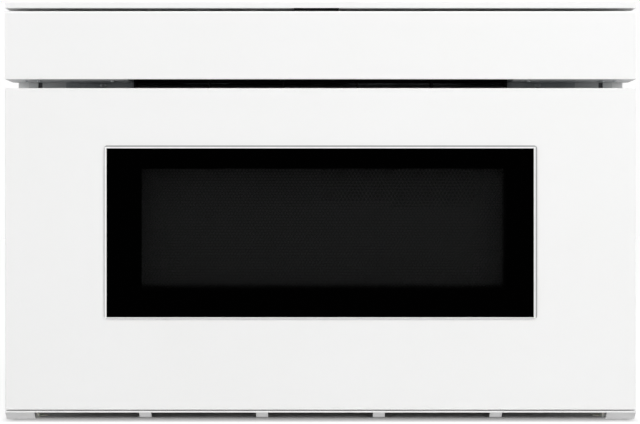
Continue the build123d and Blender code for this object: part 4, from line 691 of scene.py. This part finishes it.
def makeHexField(name, settings, low, high):
    # a hexagon with a hexagonal hole, repeated in staggered rows; it lies in XY
    pitch = settings["pitch"]
    rise = pitch * rowShare
    deselectAll()
    bpy.ops.mesh.primitive_circle_add(vertices=6, radius=pitch / math.sqrt(3), fill_type="NOTHING")
    cell = named(name)
    bpy.ops.object.mode_set(mode="EDIT")
    bpy.ops.mesh.primitive_circle_add(vertices=6, radius=settings["hole"], fill_type="NOTHING")
    bpy.ops.mesh.select_all(action="SELECT")
    bpy.ops.mesh.bridge_edge_loops()
    stopEditing()
    columns = math.ceil((high[0] - low[0]) / pitch) + 2
    rows = math.ceil((high[1] - low[1]) / rise / 2) + 2
    welding = {"use_merge_vertices": True, "merge_threshold": weld}
    repeat(cell, columns, (pitch, 0, 0), **welding)
    cell = joined(name, [cell, copyTo(cell, Matrix.Translation((pitch / 2, rise, 0)))])
    repeat(cell, rows, (0, 2 * rise, 0), **welding)
    cell.data.transform(Matrix.Translation((low[0] - pitch, low[1] - 2 * rise, 0)))
    editAll(cell)
    bpy.ops.mesh.remove_doubles(threshold=weld)
    stopEditing()
    for place, normal in (((low[0], 0, 0), (-1, 0, 0)), ((high[0], 0, 0), (1, 0, 0)),
                          ((0, low[1], 0), (0, -1, 0)), ((0, high[1], 0), (0, 1, 0))):
        cutPlane(cell, place, normal, True)
    return cell


def makeDoorScreen():
    low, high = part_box("door_screen")
    sheet = doorScreen["sheet"]
    pan = addBox("screenPan", low, high)
    startEditing(pan)
    selectFaces(pan, lambda centre, normal: normal.y > facingLimit)
    bpy.ops.mesh.inset(thickness=sheet, depth=0)
    bpy.ops.mesh.extrude_region_move(TRANSFORM_OT_translate={"value": (0, low.y + sheet - high.y, 0)})
    stopEditing()
    opening = addBox("screenOpening", (doorScreen["left"], low.y - sheet, doorScreen["low"]),
                     (doorScreen["right"], low.y + 2 * sheet, doorScreen["high"]))
    cutAway(pan, opening)
    field = makeHexField("screenField", doorScreen, (doorScreen["left"], doorScreen["low"]),
                         (doorScreen["right"], doorScreen["high"]))
    field.data.transform(Matrix.Translation((0, low.y, 0)) @ turns["front"])
    useModifier(field, "SOLIDIFY", thickness=sheet, offset=-1)
    screen = joined("perforatedDoorScreen", [field, pan])
    return finishPiece(screen, "screen_paint", "drawer", ["door_screen"])


makeDoorScreen()
print("door screen punched")


# basket back: folded sheet with a patch of vent holes
vents = {"pitch": 5.0 * mm, "hole": 1.6 * mm, "left": 4.5 * mm, "columns": 40,
             "rows": 5, "top": 255.5 * mm, "lowLeft": 98 * mm, "lowColumns": 21,
             "beadLow": 139 * mm, "beadHigh": 147 * mm, "beadDepth": 2 * mm, "beadTaper": 0.5,
             "beadInset": 6 * mm, "rim": 6 * mm, "sheet": 1.2 * mm}


def makeHoleCutters(left, top, columns, doubleRows, depthRange):
    # six-sided punches in staggered rows, hanging down from the top
    pitch = vents["pitch"]
    rise = pitch * rowShare
    deselectAll()
    bpy.ops.mesh.primitive_cylinder_add(
        vertices=6, radius=vents["hole"], depth=depthRange[1] - depthRange[0],
        location=(left, sum(depthRange) / 2, top), rotation=(math.radians(90), 0, 0))
    punch = named("punch")
    settle(punch)
    repeat(punch, columns, (pitch, 0, 0))
    lower = copyTo(punch, Matrix.Translation((-pitch / 2, 0, -rise)))
    punch = joined("punch", [punch, lower])
    repeat(punch, doubleRows, (0, 0, -2 * rise))
    return punch


def makeBasketBack():
    low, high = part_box("basket_back")
    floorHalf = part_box("basket_floor")[1].x
    front = low.y + vents["beadDepth"]
    back = front + vents["sheet"]
    wall = addBox("ventedBasketBack", (low.x, front, low.z), (high.x, back, high.z))
    startEditing(wall)
    selectFaces(wall, lambda centre, normal: normal.z < -facingLimit)
    bpy.ops.transform.resize(value=(floorHalf / high.x, 1, 1))
    stopEditing()
    rimLow = high.z - vents["sheet"]
    for height in (vents["beadLow"], vents["beadHigh"], rimLow):
        cutPlane(wall, (0, 0, height), (0, 0, 1))
    beadHalf = floorHalf - vents["beadInset"]
    for side in (-beadHalf, beadHalf):
        cutPlane(wall, (side, 0, 0), (1, 0, 0))
    startEditing(wall)
    # the stiffening bead, pressed forward
    selectFaces(wall, lambda centre, normal: normal.y < -facingLimit and abs(centre.x) < beadHalf
                and vents["beadLow"] < centre.z < vents["beadHigh"])
    bpy.ops.mesh.extrude_region_move(TRANSFORM_OT_translate={"value": (0, -vents["beadDepth"], 0)})
    bpy.ops.transform.resize(value=(1, 1, vents["beadTaper"]))
    # the rim along the top, folded back
    selectFaces(wall, lambda centre, normal: normal.y > facingLimit and centre.z > rimLow)
    bpy.ops.mesh.extrude_region_move(TRANSFORM_OT_translate={"value": (0, vents["rim"], 0)})
    stopEditing()
    depthRange = (front - past, back + past)
    cutAway(wall, makeHoleCutters(vents["left"], vents["top"], vents["columns"], vents["rows"], depthRange))
    lowTop = vents["top"] - 2 * vents["rows"] * vents["pitch"] * rowShare
    columnStep = math.floor((vents["lowLeft"] - vents["left"]) / vents["pitch"])
    lowLeft = vents["left"] + columnStep * vents["pitch"]
    cutAway(wall, makeHoleCutters(lowLeft, lowTop, vents["lowColumns"], 1, depthRange))
    return finishPiece(wall, "oven_paint", "drawer", ["basket_back"])


makeBasketBack()
print("basket back punched")


# folded return along the lip of the top trim, beside the catch
topReturn = {"depth": 20 * mm, "sheet": 1.2 * mm, "hem": 2.2 * mm, "lip": 4.7 * mm, "wall": 1.5 * mm,
             "clear": 0.6 * mm}


def makeTopReturn(name, xRange):
    low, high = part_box("top_trim")
    bottom = high.z - topReturn["lip"]
    front = low.y + topReturn["wall"]
    strip = addBox(name, (xRange[0], front, bottom),
                   (xRange[1], front + topReturn["depth"], bottom + topReturn["sheet"]))
    fold = front + topReturn["depth"] - topReturn["sheet"]
    cutPlane(strip, (0, fold, 0), (0, 1, 0))
    startEditing(strip)
    # the hem, turned up along the back edge
    selectFaces(strip, lambda centre, normal: normal.z > facingLimit and centre.y > fold)
    bpy.ops.mesh.extrude_region_move(TRANSFORM_OT_translate={"value": (0, 0, topReturn["hem"])})
    stopEditing()
    return finishPiece(strip, "white_enamel")


def makeTopReturns():
    low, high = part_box("top_trim")
    catchLow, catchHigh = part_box("flap_catch")
    makeTopReturn("leftTopReturn", (low.x, catchLow.x - topReturn["clear"]))
    makeTopReturn("rightTopReturn", (catchHigh.x + topReturn["clear"], high.x))


makeTopReturns()
print("top trim folded")


# screws: pan heads with a cross recess, and where each row of them stands
screw = {"head": 3.6 * mm, "height": 1.9 * mm, "round": 0.8 * mm, "slot": 0.9 * mm,
         "slotLength": 4.2 * mm, "slotDepth": 1.1 * mm, "sides": 20, "roundSteps": 3,
         "firstTurn": 0.2, "nextTurn": 0.7}
screwRows = {"basketX": 192 * mm, "basketZ": 124 * mm, "basketSize": 0.7,
             "caseInset": 7 * mm, "caseZ": (30 * mm, 190 * mm, 350 * mm),
             "backX": 250 * mm, "backInset": 8 * mm, "coverX": 220 * mm, "coverInset": 10 * mm,
             "railPlaces": ((215 * mm, 326.5 * mm), (200 * mm, 345 * mm)), "railSize": 0.8,
             "flapX": (203 * mm, 275 * mm, 287 * mm), "flapInset": 20 * mm, "flapSize": 0.5}


def makeScrewHead():
    # it stands on XY, its top along +Z
    deselectAll()
    bpy.ops.mesh.primitive_cylinder_add(vertices=screw["sides"], radius=screw["head"],
                                        depth=screw["height"], location=(0, 0, screw["height"] / 2))
    head = named("screwPattern")
    startEditing(head)
    top = screw["height"] - near
    selectEdges(head, lambda first, last: first.z > top and last.z > top)
    bpy.ops.mesh.bevel(offset=screw["round"], segments=screw["roundSteps"], affect="EDGES")
    stopEditing()
    half = screw["slotLength"] / 2
    width = screw["slot"] / 2
    bottom = screw["height"] - screw["slotDepth"]
    above = screw["height"] + past
    across = addBox("slotAcross", (-half, -width, bottom), (half, width, above))
    along = addBox("slotAlong", (-width, -half, bottom), (width, half, above))
    cutAway(head, across)
    cutAway(head, along)
    return head


screwHead = makeScrewHead()


def placeScrews(name, facing, places, size=1.0, body="chassis"):
    # one piece of equal screws, each turned a little further than the last
    copies = []
    for number, place in enumerate(places):
        twist = Matrix.Rotation(screw["nextTurn"] * number + screw["firstTurn"], 4, "Z")
        matrix = Matrix.Translation(place) @ turns[facing] @ twist @ Matrix.Scale(size, 4)
        copies.append(copyTo(screwHead, matrix))
    return finishPiece(joined(name, copies), "bright_steel", body)


def bothSides(points):
    return [(side * x, y, z) for side in (-1, 1) for x, y, z in points]


def makeScrews():
    rows = screwRows
    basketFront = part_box("basket_back")[0].y + vents["beadDepth"]
    basket = bothSides([(rows["basketX"], basketFront, rows["basketZ"])])
    placeScrews("basketScrews", "front", basket, rows["basketSize"], "drawer")
    low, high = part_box("side_panel_right")
    case = [(high.x, y, z) for y in (low.y + rows["caseInset"], high.y - rows["caseInset"])
            for z in rows["caseZ"]]
    placeScrews("rightCaseScrews", "right", case)
    placeScrews("leftCaseScrews", "left", [(-x, y, z) for x, y, z in case])
    back = [(x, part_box("back_panel")[1].y, z) for x in (-rows["backX"], 0, rows["backX"])
            for z in (rows["backInset"], high.z - rows["backInset"])]
    placeScrews("backCaseScrews", "back", back)
    low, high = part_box("top_cover")
    cover = [(x, y, high.z) for x in (-rows["coverX"], 0, rows["coverX"])
             for y in (low.y + rows["coverInset"], high.y - rows["coverInset"])]
    placeScrews("coverScrews", "up", cover)
    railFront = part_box("upper_rail")[0].y
    rail = bothSides([(x, railFront, z) for x, z in rows["railPlaces"]])
    placeScrews("railScrews", "front", rail, rows["railSize"])
    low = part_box("control_flap")[0]
    flap = bothSides([(x, low.y + rows["flapInset"], low.z) for x in rows["flapX"]])
    placeScrews("flapScrews", "down", flap, rows["flapSize"], "control_flap")


makeScrews()
bpy.data.objects.remove(screwHead)
print("screws placed")


# louvre hoods over the case's vent slots
louvre = {"length": 60 * mm, "height": 3 * mm, "proud": 2.2 * mm, "lap": 1.2 * mm, "sheet": 0.6 * mm,
          "crown": 1.6 * mm, "crownSteps": 3, "ends": 1.2 * mm, "endSteps": 2}
louvreRows = {"pitch": 9 * mm, "sideRows": 8, "sideFromBack": 70 * mm, "sideFromTop": 121 * mm,
              "backRows": 7, "backColumns": 2, "backFirst": 40 * mm, "backStep": 90 * mm,
              "backFromTop": 91 * mm, "coverRows": 6, "coverColumns": 2, "coverFirst": -180 * mm,
              "coverStep": 240 * mm, "coverPitch": 15 * mm, "coverFromBack": 167 * mm}


def makeHood():
    # a pressed hood over a slot that lies along X; it stands on XY and opens towards -Y
    half = louvre["length"] / 2 + louvre["lap"]
    hood = addBox("hoodPattern", (-half, -louvre["height"] / 2, 0),
                  (half, louvre["height"] / 2 + louvre["lap"], louvre["proud"]))
    startEditing(hood)
    raised = louvre["proud"] / 2
    selectEdges(hood, lambda first, last: min(first.z, last.z) > raised and min(first.y, last.y) > 0)
    bpy.ops.mesh.bevel(offset=louvre["crown"], segments=louvre["crownSteps"], affect="EDGES")
    # the top edges along Y, at its two ends
    selectEdges(hood, lambda first, last: abs(first.x - last.x) < near and first.z > raised
                and abs(first.z - last.z) < near)
    bpy.ops.mesh.bevel(offset=louvre["ends"], segments=louvre["endSteps"], affect="EDGES")
    selectFaces(hood, lambda centre, normal: normal.y < -facingLimit or normal.z < -facingLimit)
    bpy.ops.mesh.delete(type="FACE")
    stopEditing()
    useModifier(hood, "SOLIDIFY", thickness=louvre["sheet"], offset=-1)
    return hood


hoodPattern = makeHood()
hoodTurns = {"back": turned(180, "Z") @ turns["front"], "right": turned(90, "Z") @ turns["front"],
             "left": turned(-90, "Z") @ turns["front"], "up": turned(180, "Z")}


def placeHoods(name, facing, places):
    # one piece of equal hoods on a panel, their open side down, or back on the cover
    copies = [copyTo(hoodPattern, Matrix.Translation(place) @ hoodTurns[facing])
              for place in places]
    return finishPiece(joined(name, copies), "galvanised_steel")


def makeLouvres():
    rows = louvreRows
    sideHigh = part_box("side_panel_right")[1]
    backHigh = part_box("back_panel")[1]
    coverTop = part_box("top_cover")[1].z
    half = louvre["length"] / 2
    rise = louvre["height"] / 2
    sideY = backHigh.y - rows["sideFromBack"] + half
    sideZ = sideHigh.z - rows["sideFromTop"] + rise
    side = [(sideHigh.x, sideY, sideZ + rows["pitch"] * row) for row in range(rows["sideRows"])]
    placeHoods("rightLouvres", "right", side)
    placeHoods("leftLouvres", "left", [(-x, y, z) for x, y, z in side])
    backX = rows["backFirst"] + half
    backZ = sideHigh.z - rows["backFromTop"] + rise
    placeHoods("backLouvres", "back", [
        (backX + rows["backStep"] * column, backHigh.y, backZ + rows["pitch"] * row)
        for column in range(rows["backColumns"]) for row in range(rows["backRows"])])
    coverX = rows["coverFirst"] + half
    coverY = backHigh.y - rows["coverFromBack"] + rise
    placeHoods("coverLouvres", "up", [
        (coverX + rows["coverStep"] * column, coverY + rows["coverPitch"] * row, coverTop)
        for column in range(rows["coverColumns"]) for row in range(rows["coverRows"])])


makeLouvres()
bpy.data.objects.remove(hoodPattern)
print("louvres pressed")


# figures on the hidden key panel
keyPanel = {"figure": 9 * mm, "clock": 13 * mm, "ink": 0.06 * mm, "slope": 15.0,
            "first": 62 * mm, "step": 36 * mm, "leftBlock": -268 * mm, "middle": 14 * mm, "edge": 2 * mm}


def addFigure(text, size, x):
    deselectAll()
    bpy.ops.object.text_add(location=(0, 0, 0))
    figure = named("figure" + text)
    figure.data.body = text
    figure.data.size = size
    figure.data.align_x = "CENTER"
    figure.data.align_y = "CENTER"
    figure.data.extrude = keyPanel["ink"] / 2
    pick(figure)
    bpy.ops.object.convert(target="MESH")
    figure.data.transform(Matrix.Translation((x, 0, 0)))
    return figure


def makeFigures():
    low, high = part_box("key_panel_glass")
    figures = [addFigure("12:00", keyPanel["clock"], 0)]
    for number in range(5):
        x = keyPanel["first"] + keyPanel["step"] * number
        figures.append(addFigure(str(number + 1), keyPanel["figure"], x + keyPanel["leftBlock"]))
        figures.append(addFigure(str((number + 6) % 10), keyPanel["figure"], x))
    ink = joined("keyFigures", figures)
    slope = math.radians(keyPanel["slope"])
    # the glass slopes down towards the back from its highest edge
    top = Vector((0, low.y + keyPanel["edge"] * math.sin(slope), high.z))
    place = top + Vector((0, math.cos(slope), -math.sin(slope))) * keyPanel["middle"]
    place += Vector((0, math.sin(slope), math.cos(slope))) * keyPanel["ink"] / 2
    ink.data.transform(Matrix.Translation(place) @ Matrix.Rotation(-slope, 4, "X"))
    return finishPiece(ink, "touch_glass", "control_flap", material=printedInk())


makeFigures()
print("figures printed")


# floor, light and camera
studio = {"floor": "#E4E4E4", "floorSeen": "#9C9C9C", "floorRoughness": 0.9, "floorSpecular": 0.1,
          "floorSide": 7.0, "floorFront": -1.25, "floorBack": 8.0, "floorGlow": 0.805,
          "shadeGlow": 0.37, "shadeHalf": 0.296, "shadeInner": 0.24, "shadeOuter": 0.29,
          "shadeBlur": 14 * mm, "worldLight": 0.485, "darkFrom": -0.75, "dark": 0.008,
          "brightFrom": 0.1, "bright": 0.9, "aim": (0, 0, 0.2),
          "keyPlace": (0.7, -2.0, 1.9), "keySize": 1.4, "keyPower": 28.5,
          "fillPlace": (-2.2, -2.4, 0.7), "fillSize": 2.0, "fillPower": 17.5,
          "lowPlace": (2.2, -2.4, 0.6), "lowSize": 1.4, "lowPower": 9.5}


def makeFloor():
    # matt white; what the camera sees of it is mostly its own even glow, so that it meets the white behind
    depth = studio["floorBack"] - studio["floorFront"]
    deselectAll()
    bpy.ops.mesh.primitive_plane_add(size=1, location=(0, studio["floorFront"] + depth / 2, 0))
    floor = named("studioFloor")
    floor.scale = (2 * studio["floorSide"], depth, 1)
    settle(floor)
    look = {"colour": studio["floor"], "second": studio["floorSeen"], "roughness": studio["floorRoughness"]}
    material, tree, shader = newMaterial("mattWhiteFloor", look)
    shader.inputs["Specular IOR Level"].default_value = studio["floorSpecular"]
    seen = addNode(tree, "LightPath")
    axes = placeFrom(tree, (0, 0, 0))
    addColours(tree, shader, seen.outputs["Is Camera Ray"], look)
    # under the object's front and back edges the glow is held back, a painted shadow band over the real
    # shadow there
    between = zoneBetween(tree, axes["X"], fromMiddle, studio["shadeHalf"], studio["shadeBlur"])
    under = zoneBetween(tree, axes["Y"], studio["shadeInner"], studio["shadeOuter"], studio["shadeBlur"],
                        between)
    strength = addNode(tree, "MapRange",
                       {"To Min": studio["floorGlow"], "To Max": studio["shadeGlow"]}, {"Value": under})
    glow = addNode(tree, "Math", {"operation": "MULTIPLY"},
                   {0: seen.outputs["Is Camera Ray"], 1: strength.outputs["Result"]})
    shader.inputs["Emission Color"].default_value = (1, 1, 1, 1)
    tree.links.new(glow.outputs["Value"], shader.inputs["Emission Strength"])
    floor.data.materials.append(material)


def makeWorld():
    # white where it is seen; metal and glass see it behind the object and a dark room in front
    world = bpy.data.worlds.new("studioWorld")
    bpy.context.scene.world = world
    world.use_nodes = True
    tree = world.node_tree
    tree.nodes.clear()
    seen = addNode(tree, "LightPath")
    direction = addNode(tree, "TexCoord")
    axes = addNode(tree, "SeparateXYZ", None, {"Vector": direction.outputs["Generated"]}).outputs
    room = addNode(tree, "MapRange",
                   {"interpolation_type": "SMOOTHSTEP", "From Min": studio["darkFrom"],
                    "From Max": studio["brightFrom"], "To Min": studio["dark"],
                    "To Max": studio["bright"]}, {"Value": axes["Y"]})
    white = (1, 1, 1, 1)
    soft = addNode(tree, "Background", {"Strength": studio["worldLight"], "Color": white})
    mirrored = addNode(tree, "Background", {"Color": white}, {"Strength": room.outputs["Result"]})
    plain = addNode(tree, "Background", {"Strength": 1.0, "Color": white})
    glossy = addNode(tree, "MixShader", None,
                     {0: seen.outputs["Is Glossy Ray"], 1: soft.outputs["Background"],
                      2: mirrored.outputs["Background"]})
    direct = addNode(tree, "Math", {"operation": "MAXIMUM"},
                     {0: seen.outputs["Is Camera Ray"], 1: seen.outputs["Is Transmission Ray"]})
    final = addNode(tree, "MixShader", None,
                    {0: direct.outputs["Value"], 1: glossy.outputs["Shader"],
                     2: plain.outputs["Background"]})
    addNode(tree, "OutputWorld", None, {"Surface": final.outputs["Shader"]})


def addSoftbox(name, place, size, power):
    aim = Vector(studio["aim"]) - Vector(place)
    deselectAll()
    bpy.ops.object.light_add(type="AREA", location=place, rotation=aim.to_track_quat("-Z", "Y").to_euler())
    lamp = named(name)
    lamp.data.shape = "SQUARE"
    lamp.data.size = size
    lamp.data.energy = power


def makeCamera():
    # 1.3 m in front of the white face, about level with the middle of the front
    view = {"place": (0, -1.594, 0.203), "lens": 76.1, "shiftX": -0.0008, "shiftY": -0.0031, "clipEnd": 50}
    deselectAll()
    bpy.ops.object.camera_add(location=view["place"], rotation=(math.radians(90), 0, 0))
    camera = named("photoCamera")
    camera.data.lens = view["lens"]
    camera.data.shift_x = view["shiftX"]
    camera.data.shift_y = view["shiftY"]
    camera.data.clip_end = view["clipEnd"]
    bpy.context.scene.camera = camera


makeFloor()
makeWorld()
for name in ("key", "fill", "low"):
    addSoftbox(name + "Softbox", studio[name + "Place"], studio[name + "Size"], studio[name + "Power"])
makeCamera()
bpy.context.scene.view_settings.view_transform = "Standard"
print("studio set")

deselectAll()
